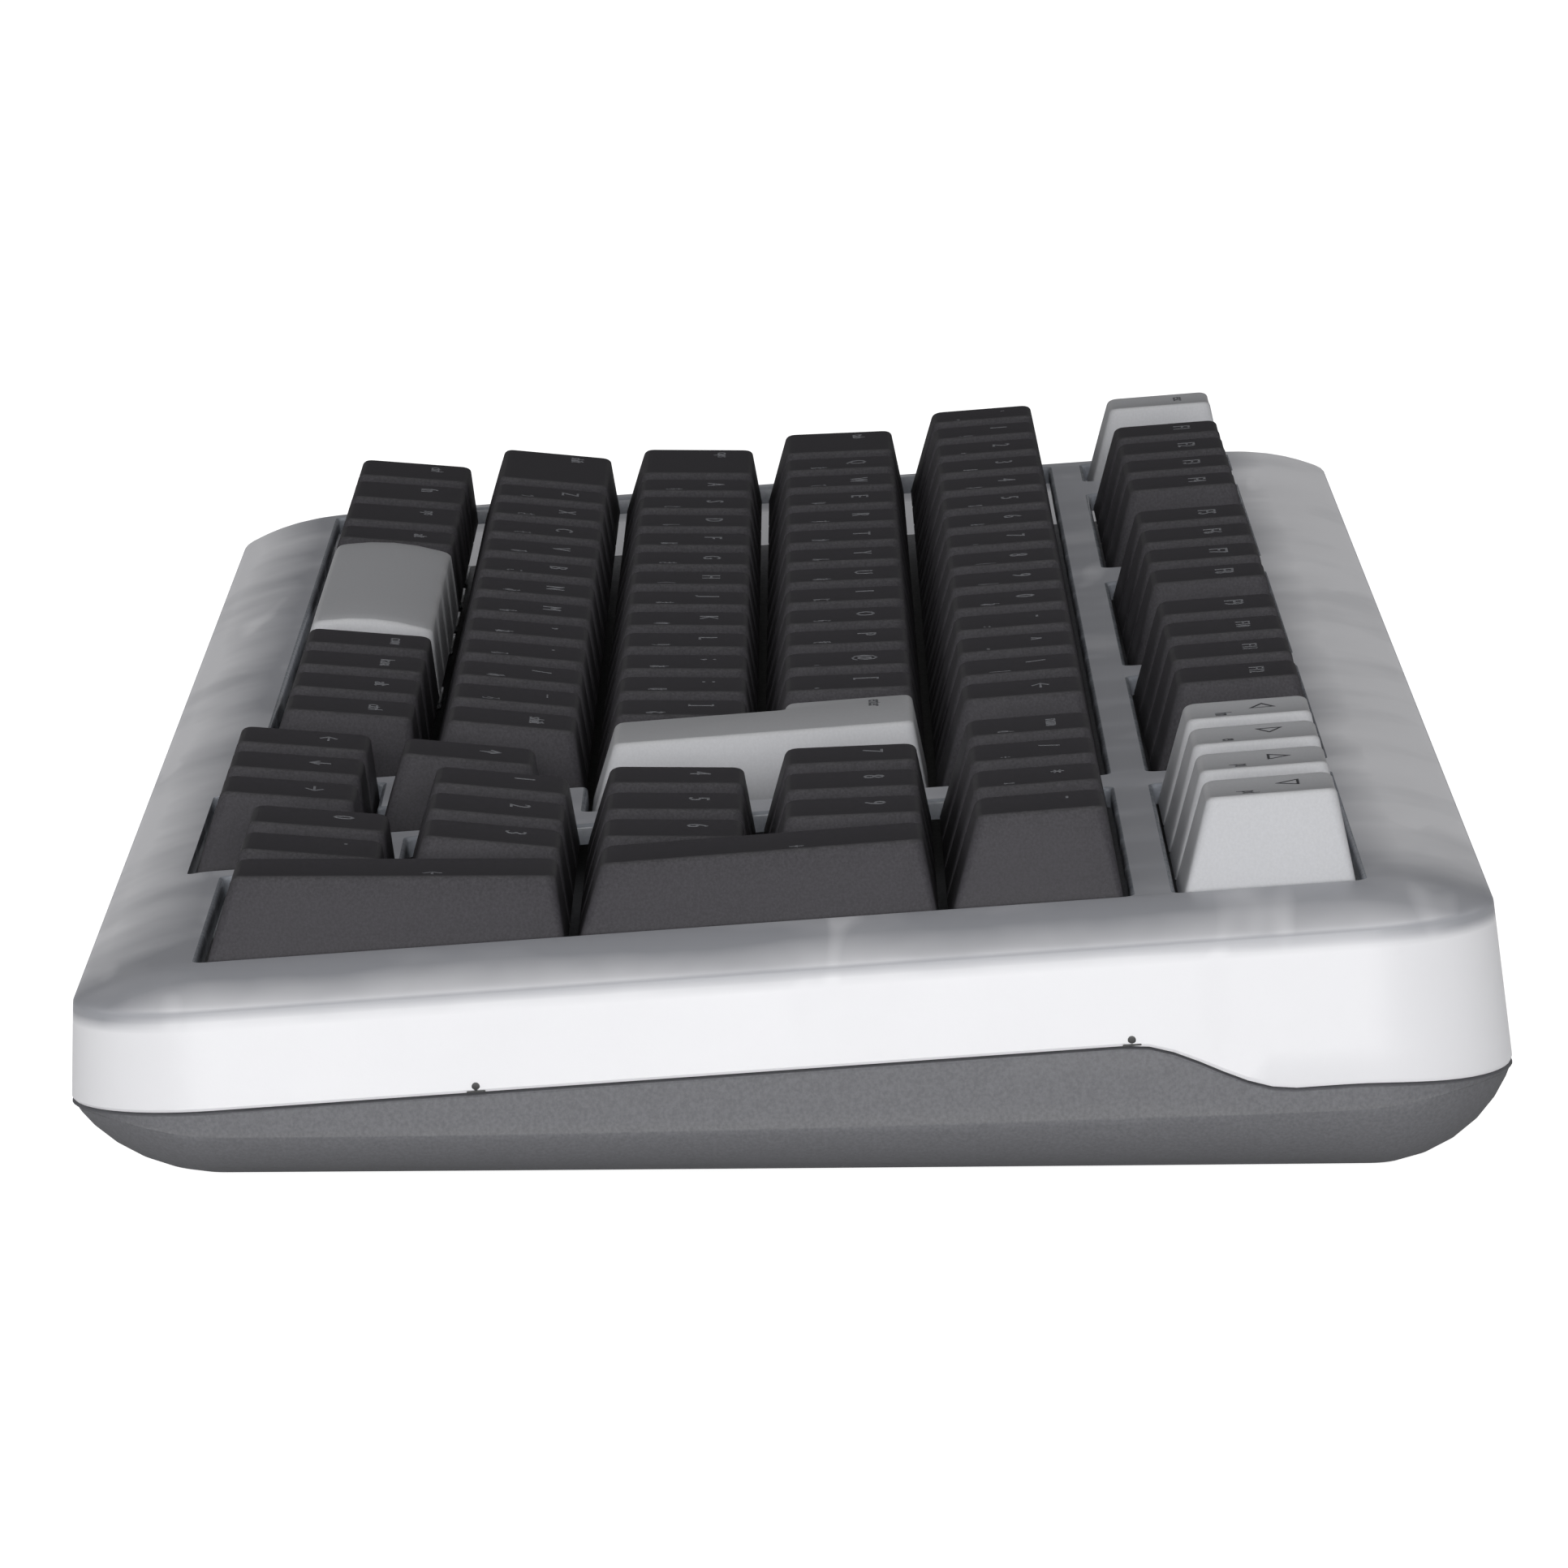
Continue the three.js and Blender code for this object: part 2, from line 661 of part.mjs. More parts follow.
screwPlaces.forEach((place, i) => {
  keyPlane.add(mesh(`case_screw_${i + 1}`, screwSolid(place), 0x909296, 0.35, 0.9));
});
for (const [name, group] of Object.entries(keyGroups)) {
  keyPlane.add(mesh(name, keycapGroup(group), group.colour ?? charcoal, 0.55));
}

const tableLevel = new THREE.Group();
tableLevel.add(mesh('battery', batteryPack(), 0x2f4a63, 0.5));
for (const [side, sign] of [['left', -1], ['right', 1]]) {
  tableLevel.add(
    mesh(`${side}_flip_foot`, flipFoot(sign * foot.x), 0x4b4a4e, 0.6),
    mesh(`${side}_front_pad`, rubberPad(sign * restPad.x, restPad.frontY), 0x1c1c1d, 0.9),
    mesh(`${side}_rear_pad`, rubberPad(sign * restPad.x, restPad.rearY), 0x1c1c1d, 0.9),
  );
}

// The origin is the middle of the footprint, on the table.
const keyboard = new THREE.Group();
keyboard.add(keyPlane, tableLevel);
keyboard.updateMatrixWorld(true);
const extent = new THREE.Box3().setFromObject(keyboard, true);
const middle = extent.getCenter(new THREE.Vector3());
keyboard.position.set(-middle.x, -middle.y, -extent.min.z);

export default keyboard;
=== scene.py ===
from math import cos, pi, radians, sin, tau

import bpy
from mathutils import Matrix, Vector


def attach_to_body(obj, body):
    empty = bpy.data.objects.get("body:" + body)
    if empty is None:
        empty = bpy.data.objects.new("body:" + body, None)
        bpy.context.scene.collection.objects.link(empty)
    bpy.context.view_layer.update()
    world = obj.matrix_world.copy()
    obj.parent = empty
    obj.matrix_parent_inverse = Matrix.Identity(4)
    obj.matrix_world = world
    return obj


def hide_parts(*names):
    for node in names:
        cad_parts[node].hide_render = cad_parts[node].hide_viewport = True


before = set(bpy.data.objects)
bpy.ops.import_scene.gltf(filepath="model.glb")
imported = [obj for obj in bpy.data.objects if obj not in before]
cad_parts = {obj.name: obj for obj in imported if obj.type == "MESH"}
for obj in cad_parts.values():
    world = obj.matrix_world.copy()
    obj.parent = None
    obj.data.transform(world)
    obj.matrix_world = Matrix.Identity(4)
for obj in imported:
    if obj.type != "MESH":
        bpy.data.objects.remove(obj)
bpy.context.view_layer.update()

print("frame loaded")

mm = 0.001
unit = 19.05  # pitch of the keys, in millimetres
keyPlane = {"slope": 3.75, "shiftX": 0.9, "shiftY": -51.479, "height": 23.0}  # from the front row's middle
slopeCos = cos(radians(keyPlane["slope"]))
slopeSin = sin(radians(keyPlane["slope"]))
blockRight = 19.5 * unit / 2
creaseAngle = radians(32)  # edges sharper than this stay crisp


def fromKeyPlane(x, y, z):
    across = y * slopeCos - z * slopeSin + keyPlane["shiftY"]
    up = y * slopeSin + z * slopeCos + keyPlane["height"]
    return Vector(((x + keyPlane["shiftX"]) * mm, across * mm, up * mm))


def fromTable(x, y, z):  # the same origin, but level with the table
    shifts = (keyPlane["shiftX"], keyPlane["shiftY"], keyPlane["height"])
    return Vector([(value + shift) * mm for value, shift in zip((x, y, z), shifts)])


def localPoint(x, y, z):
    return Vector((x * mm, y * mm, z * mm))


def levelHeight(height, y):  # height in the key plane of a level surface
    return height / slopeCos - y * slopeSin / slopeCos


def mix(a, b, share):
    return a + (b - a) * share


def smoothStep(low, high, value):
    share = min(max((value - low) / (high - low), 0.0), 1.0)
    return share * share * (3 - 2 * share)


def grey(value, tint=(1, 1, 1)):
    return (value * tint[0], value * tint[1], value * tint[2], 1)


def adjust(thing, **values):
    for label, value in values.items():
        setattr(thing, label, value)
    return thing


def placeObject(name, data, **values):
    thing = adjust(bpy.data.objects.new(name, data), **values)
    bpy.context.collection.objects.link(thing)
    return thing


def addNode(tree, kind, **values):
    return adjust(tree.nodes.new("ShaderNode" + kind), **values)


def feed(tree, node, values):  # links each socket to another node's output, or sets its plain value
    for label, value in values.items():
        if hasattr(value, "links"):
            tree.links.new(value, node.inputs[label])
        else:
            node.inputs[label].default_value = value


def mathNode(tree, operation, *values, clamp=False):
    node = addNode(tree, "Math", operation=operation, use_clamp=clamp)
    feed(tree, node, dict(enumerate(values)))
    return node.outputs[0]


def add(tree, first, second, **more):
    return mathNode(tree, "ADD", first, second, **more)


def multiply(tree, first, second, **more):
    return mathNode(tree, "MULTIPLY", first, second, **more)


def colourMix(tree, factor, first, second):
    node = addNode(tree, "Mix", data_type="RGBA")
    feed(tree, node, {0: factor, 6: first, 7: second})
    return node.outputs[2]


def noiseNode(tree, place, scale, detail, rough=0.5):
    node = addNode(tree, "TexNoise")
    feed(tree, node, {"Vector": place, "Scale": scale, "Detail": detail, "Roughness": rough})
    return node.outputs["Fac"]


def mapRange(tree, value, low, high, newLow=0.0, newHigh=1.0):
    node = addNode(tree, "MapRange")
    feed(tree, node, {"Value": value, "From Min": low, "From Max": high, "To Min": newLow, "To Max": newHigh})
    return node.outputs[0]


def bumpNode(tree, height, strength, distance):
    node = addNode(tree, "Bump")
    feed(tree, node, {"Strength": strength, "Distance": distance, "Height": height})
    return node.outputs[0]


def newMaterial(name):
    material = bpy.data.materials.new(name)
    material.use_nodes = True
    return material, material.node_tree, material.node_tree.nodes["Principled BSDF"]


cameraSetup = {"place": (1.32369, 0.00055, 0.2069), "turn": (81.6651, 0.3808, 90.0262)}
cameraLens = {"lens": 260.07, "sensor_width": 36, "clip_start": 0.05, "clip_end": 60}
softboxes = {  # place, aim, width, height and power
    "frontSoftbox": ((2.3, -0.1, 0.42), (0.1, 0, 0.02), 1.8, 0.9, 36.5),
    "topSoftbox": ((0.0, 0.1, 1.7), (0, 0, 0), 1.8, 1.4, 0.8),
    "leftSoftbox": ((0.2, -1.6, 0.7), (0, 0, 0.02), 1.4, 0.8, 4.0),
    "rightSoftbox": ((-0.2, 1.6, 0.8), (0, 0, 0.02), 1.4, 0.8, 3.0),
}
room = {"near": 0.26, "far": 0.07, "nearAt": 0.9, "farAt": -0.7}
floorLook = {"half": 12, "tone": 0.86, "rough": 0.9, "glow": 0.85, "bounce": 0.08}


def areaLight(name, place, aim, width, height, power):
    data = bpy.data.lights.new(name, "AREA")
    adjust(data, shape="RECTANGLE", size=width, size_y=height, energy=power)
    turn = (Vector(aim) - Vector(place)).to_track_quat("-Z", "Y").to_euler()
    placeObject(name, data, location=place, rotation_euler=turn)


def buildStudio():
    data = adjust(bpy.data.cameras.new("camera"), **cameraLens)
    turn = [radians(angle) for angle in cameraSetup["turn"]]
    bpy.context.scene.camera = placeObject("camera", data, location=cameraSetup["place"], rotation_euler=turn)
    for name, values in softboxes.items():
        areaLight(name, *values)
    bpy.context.scene.world = studioWorld()
    bpy.context.scene.view_settings.view_transform = "Standard"
    half = floorLook["half"]
    mesh = bpy.data.meshes.new("studioFloor")
    corners = [(-half, -half, 0), (half, -half, 0), (half, half, 0), (-half, half, 0)]
    mesh.from_pydata(corners, [], [(0, 1, 2, 3)])
    mesh.materials.append(floorMaterial())
    placeObject("studioFloor", mesh)


def studioWorld():  # white behind the object, and a room that is darker away from the front softbox
    world = bpy.data.worlds.new("studioWorld")
    world.use_nodes = True
    tree = world.node_tree
    parts = addNode(tree, "SeparateXYZ")
    tree.links.new(addNode(tree, "TexCoord").outputs["Generated"], parts.inputs[0])
    light = mapRange(tree, parts.outputs[0], room["farAt"], room["nearAt"], room["far"], room["near"])
    strength = addNode(tree, "Mix")
    seen = addNode(tree, "LightPath").outputs["Is Camera Ray"]
    feed(tree, strength, {"Factor": seen, "A": light, "B": 1.0})
    feed(tree, tree.nodes["Background"], {"Color": grey(1), "Strength": strength.outputs[0]})
    return world


def floorMaterial():
    material, tree, shader = newMaterial("paleFloor")
    seen = addNode(tree, "LightPath").outputs["Is Camera Ray"]
    glow = mathNode(tree, "MULTIPLY_ADD", seen, floorLook["glow"], floorLook["bounce"])
    feed(tree, shader, {"Base Color": grey(floorLook["tone"]), "Roughness": floorLook["rough"],
                        "Emission Color": grey(1), "Emission Strength": glow})
    side = addNode(tree, "NewGeometry")  # the floor can't be seen from below
    clear = addNode(tree, "BsdfTransparent")
    choice = addNode(tree, "MixShader")
    feed(tree, choice, {0: side.outputs["Backfacing"], 1: shader.outputs[0], 2: clear.outputs[0]})
    tree.links.new(choice.outputs[0], tree.nodes["Material Output"].inputs["Surface"])
    return material


buildStudio()
print("studio ready")


def newGroup(name, inputs, outputs):  # a colour socket for each colour, and a number socket for the rest
    group = bpy.data.node_groups.new(name, "ShaderNodeTree")
    for way, values in (("INPUT", inputs), ("OUTPUT", outputs)):
        for label, value in values.items():
            kind = "NodeSocketColor" if isinstance(value, tuple) else "NodeSocketFloat"
            group.interface.new_socket(name=label, in_out=way, socket_type=kind).default_value = value
    return group, group.nodes.new("NodeGroupInput").outputs, group.nodes.new("NodeGroupOutput")


grainLook = {"coarse": (3.0, 0.6), "coarseShare": 0.6, "finer": 2.6, "fineDetail": 1.0, "fineShare": 0.4,
             "fleck": (0.35, 0.68, -1.0, 1.0)}


def mouldedGrainGroup():  # the fine spark-eroded texture of moulded plastic
    inputs = {"Fineness": 3000.0, "Fleck Amount": 0.1}
    group, given, sink = newGroup("mouldedGrain", inputs, {"Height": 0.0, "Fleck": 0.0})
    place = addNode(group, "TexCoord").outputs["Object"]
    coarse = noiseNode(group, place, given["Fineness"], *grainLook["coarse"])
    fineScale = multiply(group, given["Fineness"], grainLook["finer"])
    fine = noiseNode(group, place, fineScale, grainLook["fineDetail"])
    deep = multiply(group, coarse, grainLook["coarseShare"])
    shallow = multiply(group, fine, grainLook["fineShare"])
    fleck = mapRange(group, coarse, *grainLook["fleck"])
    feed(group, sink, {"Height": add(group, deep, shallow), "Fleck": multiply(group, fleck, given["Fleck Amount"])})
    return group


wearPatches = {"noise": (420.0, 3.0), "range": (0.3, 0.7, 0.55, 1.0)}


def edgeWearAndHighlightGroup():  # rubbed, slightly paler rims, from the rim value kept on each mesh; on the caps' top edges the paler rim is also a painted highlight
    inputs = {"Fresh": grey(0), "Worn": grey(1), "Amount": 0.5, "Fleck": 0.0}
    group, given, sink = newGroup("edgeWear", inputs, {"Colour": grey(1)})
    rim = addNode(group, "Attribute", attribute_name="rim").outputs["Fac"]
    place = addNode(group, "TexCoord").outputs["Object"]
    patches = mapRange(group, noiseNode(group, place, *wearPatches["noise"]), *wearPatches["range"])
    worn = multiply(group, multiply(group, rim, patches), given["Amount"], clamp=True)
    shade = addNode(group, "HueSaturation")
    feed(group, shade, {"Color": colourMix(group, worn, given["Fresh"], given["Worn"]),
                        "Value": add(group, given["Fleck"], 1.0)})
    feed(group, sink, {"Colour": shade.outputs[0]})
    return group


# The plate, side and near end values place painted light and painted shade on the frosted shell; the fold values
# mark where the painted light of the wall starts.
frostLook = {
    "plateX": 0.184, "plateY": 0.058, "plateMiddle": -0.0045,
    "sideStart": 0.009, "sideSpread": 1.75, "sideMost": 0.75, "nearEndShade": (0.15, 0.187, 1.0, 0.15),
    "cloud": (46.0, 3.0), "cloudRange": (0.33, 0.67, -1.0, 1.0), "streakScale": (30.0, 150.0, 60.0),
    "streakTurn": (0.0, 0.0, 0.6), "streakRange": (0.66, 0.74), "streakShare": 0.3,
    "foldDrop": 4.0, "foldBlend": 0.0012, "roughShare": 0.15,
}


def frostCloudPaintedLightGroup():  # cloudy tone of a frosted shell, with painted shade over the plate (partly the dark plate seen through) and towards the near end, painted light on the wall and margins, and a painted shade line along the fold
    inputs = {"Clear": grey(0.7), "Shaded": grey(0.3), "Fade": 0.012, "Clouds": 0.3, "Fold Line": 0.3}
    group, given, sink = newGroup("frostCloud", inputs, {"Colour": grey(1), "Rough Shift": 0.0})
    look = frostLook
    place = addNode(group, "TexCoord").outputs["Object"]
    parts = addNode(group, "SeparateXYZ")
    feed(group, parts, {0: place})

    def beyond(value, half):  # distance outside the plate
        return mathNode(group, "SUBTRACT", mathNode(group, "ABSOLUTE", value), half)

    shifted = mathNode(group, "SUBTRACT", parts.outputs[1], look["plateMiddle"])
    sideEnd = multiply(group, given["Fade"], look["sideSpread"])
    # painted light: lighter towards the fold on the near side, and on the margins outside the plate
    sideX = beyond(parts.outputs[0], look["plateX"])
    litShareX = mapRange(group, sideX, look["sideStart"], sideEnd, 0.0, look["sideMost"])
    litShareY = mapRange(group, beyond(shifted, look["plateY"]), 0.0, given["Fade"])
    # painted shade: darker towards the near end
    nearEndShade = mapRange(group, parts.outputs[0], *look["nearEndShade"])
    clear = mathNode(group, "MAXIMUM", litShareX, multiply(group, litShareY, nearEndShade))
    cloud = mapRange(group, noiseNode(group, place, *look["cloud"]), *look["cloudRange"])
    stretched = addNode(group, "Mapping")
    feed(group, stretched, {"Scale": look["streakScale"], "Rotation": look["streakTurn"], "Vector": place})
    streak = mapRange(group, noiseNode(group, stretched.outputs[0], 1.0, 1.0), *look["streakRange"])
    drift = add(group, multiply(group, cloud, given["Clouds"]), multiply(group, streak, look["streakShare"]))
    height = addNode(group, "VectorMath", operation="DOT_PRODUCT")
    feed(group, height, {0: place, 1: (0.0, -slopeSin, slopeCos)})
    foldAt = (keyPlane["height"] * slopeCos - keyPlane["shiftY"] * slopeSin - look["foldDrop"]) * mm
    # painted light: the wall below the fold takes the lit colour
    wall = mapRange(group, height.outputs["Value"], foldAt, foldAt - look["foldBlend"])
    surface = colourMix(group, add(group, clear, drift, clamp=True), given["Shaded"], given["Clear"])
    whole = colourMix(group, wall, surface, given["Clear"])
    rim = addNode(group, "Attribute", attribute_name="rim").outputs["Fac"]
    # painted shade: a dark line along the fold, from the rim value
    line = multiply(group, rim, given["Fold Line"], clamp=True)
    feed(group, sink, {"Colour": colourMix(group, line, whole, given["Shaded"]),
                       "Rough Shift": multiply(group, drift, look["roughShare"])})
    return group


groups = {"grain": mouldedGrainGroup(), "wear": edgeWearAndHighlightGroup(), "frost": frostCloudPaintedLightGroup()}


def placeGroup(tree, name, **values):
    node = addNode(tree, "Group", node_tree=groups[name])
    feed(tree, node, {label.replace("_", " "): value for label, value in values.items()})
    return node.outputs


usualFinish = {"wear": 0.3, "rough": 0.6, "fineness": 2400, "fleck": 0.1, "bump": 0.02, "metal": 0, "gloss": 0.5}


def finish(fresh, worn, **changes):  # bump is in millimetres
    return {**usualFinish, "fresh": fresh, "worn": worn, **changes}


capFinish = {"wear": 0.4, "fineness": 3600, "gloss": 0.25}
inkFinish = {"wear": 0, "fineness": 3000, "fleck": 0.2, "bump": 0.01}
# worn is the paler rim colour: rubbed wear, and on the caps also a painted highlight along the top edges
finishes = {
    "charcoalCap": finish(grey(0.05, (1.0, 0.95, 1.08)), grey(0.11), fleck=0.22, **capFinish),
    "paleCap": finish(grey(0.55, (0.99, 1.0, 1.04)), grey(0.68), fleck=0.035, **capFinish),
    "legendInk": finish(grey(0.24, (0.98, 1.0, 1.08)), grey(0.3), **inkFinish),
    "legendShade": finish(grey(0.06, (0.96, 1.0, 1.12)), grey(0.3), **inkFinish),
    "trayPlastic": finish(grey(0.158, (0.98, 0.99, 1.06)), grey(0.24), fineness=2600, fleck=0.13, bump=0.03,
                          gloss=0.3),
    "footPlastic": finish(grey(0.07), grey(0.12), bump=0.03),
    "softRubber": finish(grey(0.02), grey(0.04), rough=0.85, fineness=1500, fleck=0.15, bump=0.04),
    "siliconeSheet": finish(grey(0.22), grey(0.26), wear=0.2, rough=0.8, fineness=900, fleck=0.08, bump=0.05),
    "blackPlastic": finish(grey(0.02), grey(0.05), rough=0.45, fleck=0.12),
    "stemPlastic": finish((0.32, 0.05, 0.035, 1), (0.4, 0.1, 0.08, 1), wear=0.2, rough=0.35, fineness=1800,
                          fleck=0.05, bump=0.01),
    "housingPlastic": finish(grey(0.5, (0.97, 1.0, 1.03)), grey(0.7), rough=0.16, fineness=700, fleck=0.12,
                             bump=0.01),
    "paintedPlate": finish(grey(0.022), grey(0.1), wear=0.4, rough=0.42, fineness=1800, fleck=0.2, metal=0.3),
    "solderMask": finish((0.008, 0.013, 0.011, 1), grey(0.03), wear=0.1, rough=0.3, fineness=500, fleck=0.2,
                         bump=0.01),
    "batteryWrap": finish((0.03, 0.07, 0.13, 1), grey(0.1), wear=0.2, rough=0.3, fineness=300, bump=0.04),
    "platedSteel": finish(grey(0.52), grey(0.7), wear=0.4, rough=0.28, fineness=1500, fleck=0.08, bump=0.01,
                          metal=1),
    # the opening lips: a glossier plastic, painted paler as a highlight along the edges
    "glassyLip": finish(grey(0.46, (0.93, 0.99, 1.1)), grey(0.5), wear=0, rough=0.22, fineness=900, fleck=0.12),
}
bumpStrength, fleckRough = 0.6, 0.25  # how much the grain moves the surface and its roughness


def mouldedMaterial(name, values):
    material, tree, shader = newMaterial(name)
    grain = placeGroup(tree, "grain", Fineness=values["fineness"], Fleck_Amount=values["fleck"])
    wear = placeGroup(tree, "wear", Fresh=values["fresh"], Worn=values["worn"], Amount=values["wear"],
                      Fleck=grain["Fleck"])
    rough = add(tree, multiply(tree, grain["Fleck"], fleckRough), values["rough"], clamp=True)
    feed(tree, shader, {
        "Base Color": wear["Colour"], "Roughness": rough, "Metallic": values["metal"],
        "Specular IOR Level": values["gloss"],
        "Normal": bumpNode(tree, grain["Height"], bumpStrength, values["bump"] * mm),
    })
    return material


# clear is the painted lit tone and shaded the painted shade tone of the one frosted plastic; the fold value sets the
# painted shade line at the fold; the emission strength lets the shell glow as painted light
frosted = {
    "clear": grey(0.59, (0.99, 0.99, 1.02)), "shaded": grey(0.25, (0.96, 0.98, 1.06)), "rough": 0.4, "clouds": 0.2,
    "fade": 0.009, "foldShadeLine": 0.75, "fineness": 1600, "fleck": 0.1, "bump": 0.02, "bumpStrength": 0.4,
    "glow": 0.2, "depth": 0.003, "lit": 0.34,
}


def frostedMaterial():
    material, tree, shader = newMaterial("frostedShell")
    cloud = placeGroup(tree, "frost", Clear=frosted["clear"], Shaded=frosted["shaded"],
                       Clouds=frosted["clouds"], Fade=frosted["fade"], Fold_Line=frosted["foldShadeLine"])
    grain = placeGroup(tree, "grain", Fineness=frosted["fineness"], Fleck_Amount=frosted["fleck"])
    # the shell's colour is also its emission: a painted glow
    feed(tree, shader, {
        "Base Color": cloud["Colour"], "Emission Color": cloud["Colour"], "Emission Strength": frosted["lit"],
        "Roughness": add(tree, cloud["Rough Shift"], frosted["rough"], clamp=True),
        "Subsurface Weight": frosted["glow"], "Subsurface Radius": (1, 1, 1), "Subsurface Scale": frosted["depth"],
        "Normal": bumpNode(tree, grain["Height"], frosted["bumpStrength"], frosted["bump"] * mm),
    })
    return material


materials = {name: mouldedMaterial(name, values) for name, values in finishes.items()}
materials["frostedShell"] = frostedMaterial()
print("materials ready")

def loft(rings, hole=False):  # capped at both ends, or with a hole right through
    count = len(rings[0])
    points = [point for ring in rings for point in ring]
    faces = []
    for k in range(len(rings) if hole else len(rings) - 1):
        low, high = k * count, (k + 1) % len(rings) * count
        for i in range(count):
            j = (i + 1) % count
            faces.append((low + i, low + j, high + j, high + i))
    if not hole:
        faces.append(tuple(reversed(range(count))))
        faces.append(tuple(range((len(rings) - 1) * count, len(rings) * count)))
    return points, faces


def solid(rings, slotIndex=0, rims=None, hole=False):
    return (*loft(rings, hole), slotIndex, rims)


def roundedRect(edge, radius, heightAt, cornerSteps=4, stepsX=1, stepsY=1):
    left, right, front, rear = edge
    corners = (
        (right - radius, front + radius, -90), (right - radius, rear - radius, 0),
        (left + radius, rear - radius, 90), (left + radius, front + radius, 180),
    )
    flat = []
    for k, (centreX, centreY, start) in enumerate(corners):
        for s in range(cornerSteps + 1):
            angle = radians(start + 90 * s / cornerSteps)
            flat.append((centreX + radius * cos(angle), centreY + radius * sin(angle)))
        nextX, nextY, nextStart = corners[(k + 1) % 4]
        turn = radians(nextStart)
        end = (nextX + radius * cos(turn), nextY + radius * sin(turn))
        begin = flat[-1]
        steps = stepsY if k % 2 == 0 else stepsX
        flat += [(mix(begin[0], end[0], s / steps), mix(begin[1], end[1], s / steps)) for s in range(1, steps)]
    if callable(heightAt):
        return [(x, y, heightAt(x, y)) for x, y in flat]
    return [(x, y, heightAt) for x, y in flat]


def grow(edge, amount):
    left, right, front, rear = edge
    return (left - amount, right + amount, front - amount, rear + amount)


def roundedOutline(corners, radius, offset, heightAt, steps=4):
    # Corners run counter-clockwise; one that turns right is a notch. Offset moves every side outwards.
    ring = []
    count = len(corners)
    for i in range(count):
        before, here, after = (Vector(corners[(i + k) % count]) for k in (-1, 0, 1))
        into, out = (here - before).normalized(), (after - here).normalized()
        moved = here + (Vector((into.y, -into.x)) + Vector((out.y, -out.x))) * offset
        turnsLeft = into.x * out.y - into.y * out.x > 0
        bend = max(radius + (offset if turnsLeft else -offset), 0.05)
        centre = moved - into * bend + out * bend
        for s in range(steps + 1):
            angle = pi / 2 * s / steps
            point = centre + (into * sin(angle) - out * cos(angle)) * bend
            ring.append((point.x, point.y, heightAt(point.x, point.y) if callable(heightAt) else heightAt))
    return ring


def makeMesh(name, shells, place=fromKeyPlane):
    # Each shell is points, faces, the material's place in the list, and a rim value for each point or None.
    points, faces, slots, rims = [], [], [], []
    for shellPoints, shellFaces, slotIndex, shellRims in shells:
        start = len(points)
        points += [place(*point) for point in shellPoints]
        faces += [tuple(start + i for i in face) for face in shellFaces]
        slots += [slotIndex] * len(shellFaces)
        rims += shellRims if shellRims else [0.0] * len(shellPoints)
    mesh = bpy.data.meshes.new(name)
    mesh.from_pydata(points, [], faces)
    mesh.polygons.foreach_set("material_index", slots)
    attribute = mesh.attributes.new("rim", "FLOAT", "POINT")
    attribute.data.foreach_set("value", rims)
    mesh.validate()
    mesh.shade_smooth()
    mesh.set_sharp_from_angle(angle=creaseAngle)
    return mesh


def makePiece(name, shells, materialNames, body, replaces=(), place=fromKeyPlane):
    piece = placeObject(name, makeMesh(name, shells, place))
    for materialName in materialNames:
        piece.data.materials.append(materials[materialName])
    attach(piece, body, replaces)
    return piece


def attach(piece, body, replaces=()):
    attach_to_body(piece, body)
    if replaces:
        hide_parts(*replaces)


def cutPiece(piece, cutters, operation="DIFFERENCE"):
    for cutter in cutters:
        step = piece.modifiers.new("cut", "BOOLEAN")
        adjust(step, operation=operation, solver="EXACT", object=cutter, material_mode="TRANSFER")
    bakeModifiers(piece)
    for cutter in cutters:
        bpy.data.objects.remove(cutter)


def bakeModifiers(piece):
    graph = bpy.context.evaluated_depsgraph_get()
    plain = bpy.data.meshes.new_from_object(piece.evaluated_get(graph), depsgraph=graph)
    plain.name = piece.name
    piece.modifiers.clear()
    old = piece.data
    piece.data = plain
    bpy.data.meshes.remove(old)
    plain.shade_smooth()
    plain.set_sharp_from_angle(angle=creaseAngle)


def makeCutter(name, rings, place=fromKeyPlane):
    return placeObject(name, makeMesh(name, [solid(rings)], place))


def circle(x, y, radius, sides):
    turns = [tau * i / sides for i in range(sides)]
    return [(x + radius * cos(a), y + radius * sin(a)) for a in turns]


def rimValues(rings, rims):  # one value for each point of each ring
    return [rim for ring, rim in zip(rings, rims) for _ in ring]


caps = {
    "base": 18.1, "bottom": -1.8, "topWidth": 12.2, "wall": 1.4, "topThickness": 1.6, "fillet": 0.55,
    "baseRadius": 0.6, "topRadius": 1.15, "leastRadius": 0.35, "dish": 0.4, "crown": 0.9, "crownEnds": 0.35,
    "arrowShift": -4.2, "functionGap": 4.6, "enterHeight": 8.6,
}
# the rim values pale the caps' rims: rubbed wear, and along the rounded top edge a painted highlight
capProfile = {
    "inside": ((0.8, 0.9), (0.8, 0.0), (0.45, 0.0), (0.02, 0.0)),  # share of the height, and how far in
    "outside": ((0.0, 0.35), (0.04, 0.35), (0.35, 0.0), (0.68, 0.0)),  # share of the height, and rim
    "fillet": ((0, 0.15), (25, 0.7), (50, 1.0), (72, 0.8), (90, 0.15)),  # turn in degrees, and rim
    "top": (0.9, 0.7, 0.45, 0.2),
}
rowTops = [  # front and rear top edges of each row's caps, from the row's middle and the bezel
    ((-5.4, 8.1), (8.7, 6.0)), ((-5.5, 8.1), (8.4, 5.8)), ((-5.9, 6.7), (8.3, 5.6)),
    ((-6.0, 7.3), (7.9, 6.9)), ((-5.4, 8.9), (7.6, 9.0)), ((-5.6, 9.0), (7.6, 9.1)),
]


def rowY(row):
    return (row - 1) * unit + (caps["functionGap"] if row == 6 else 0)


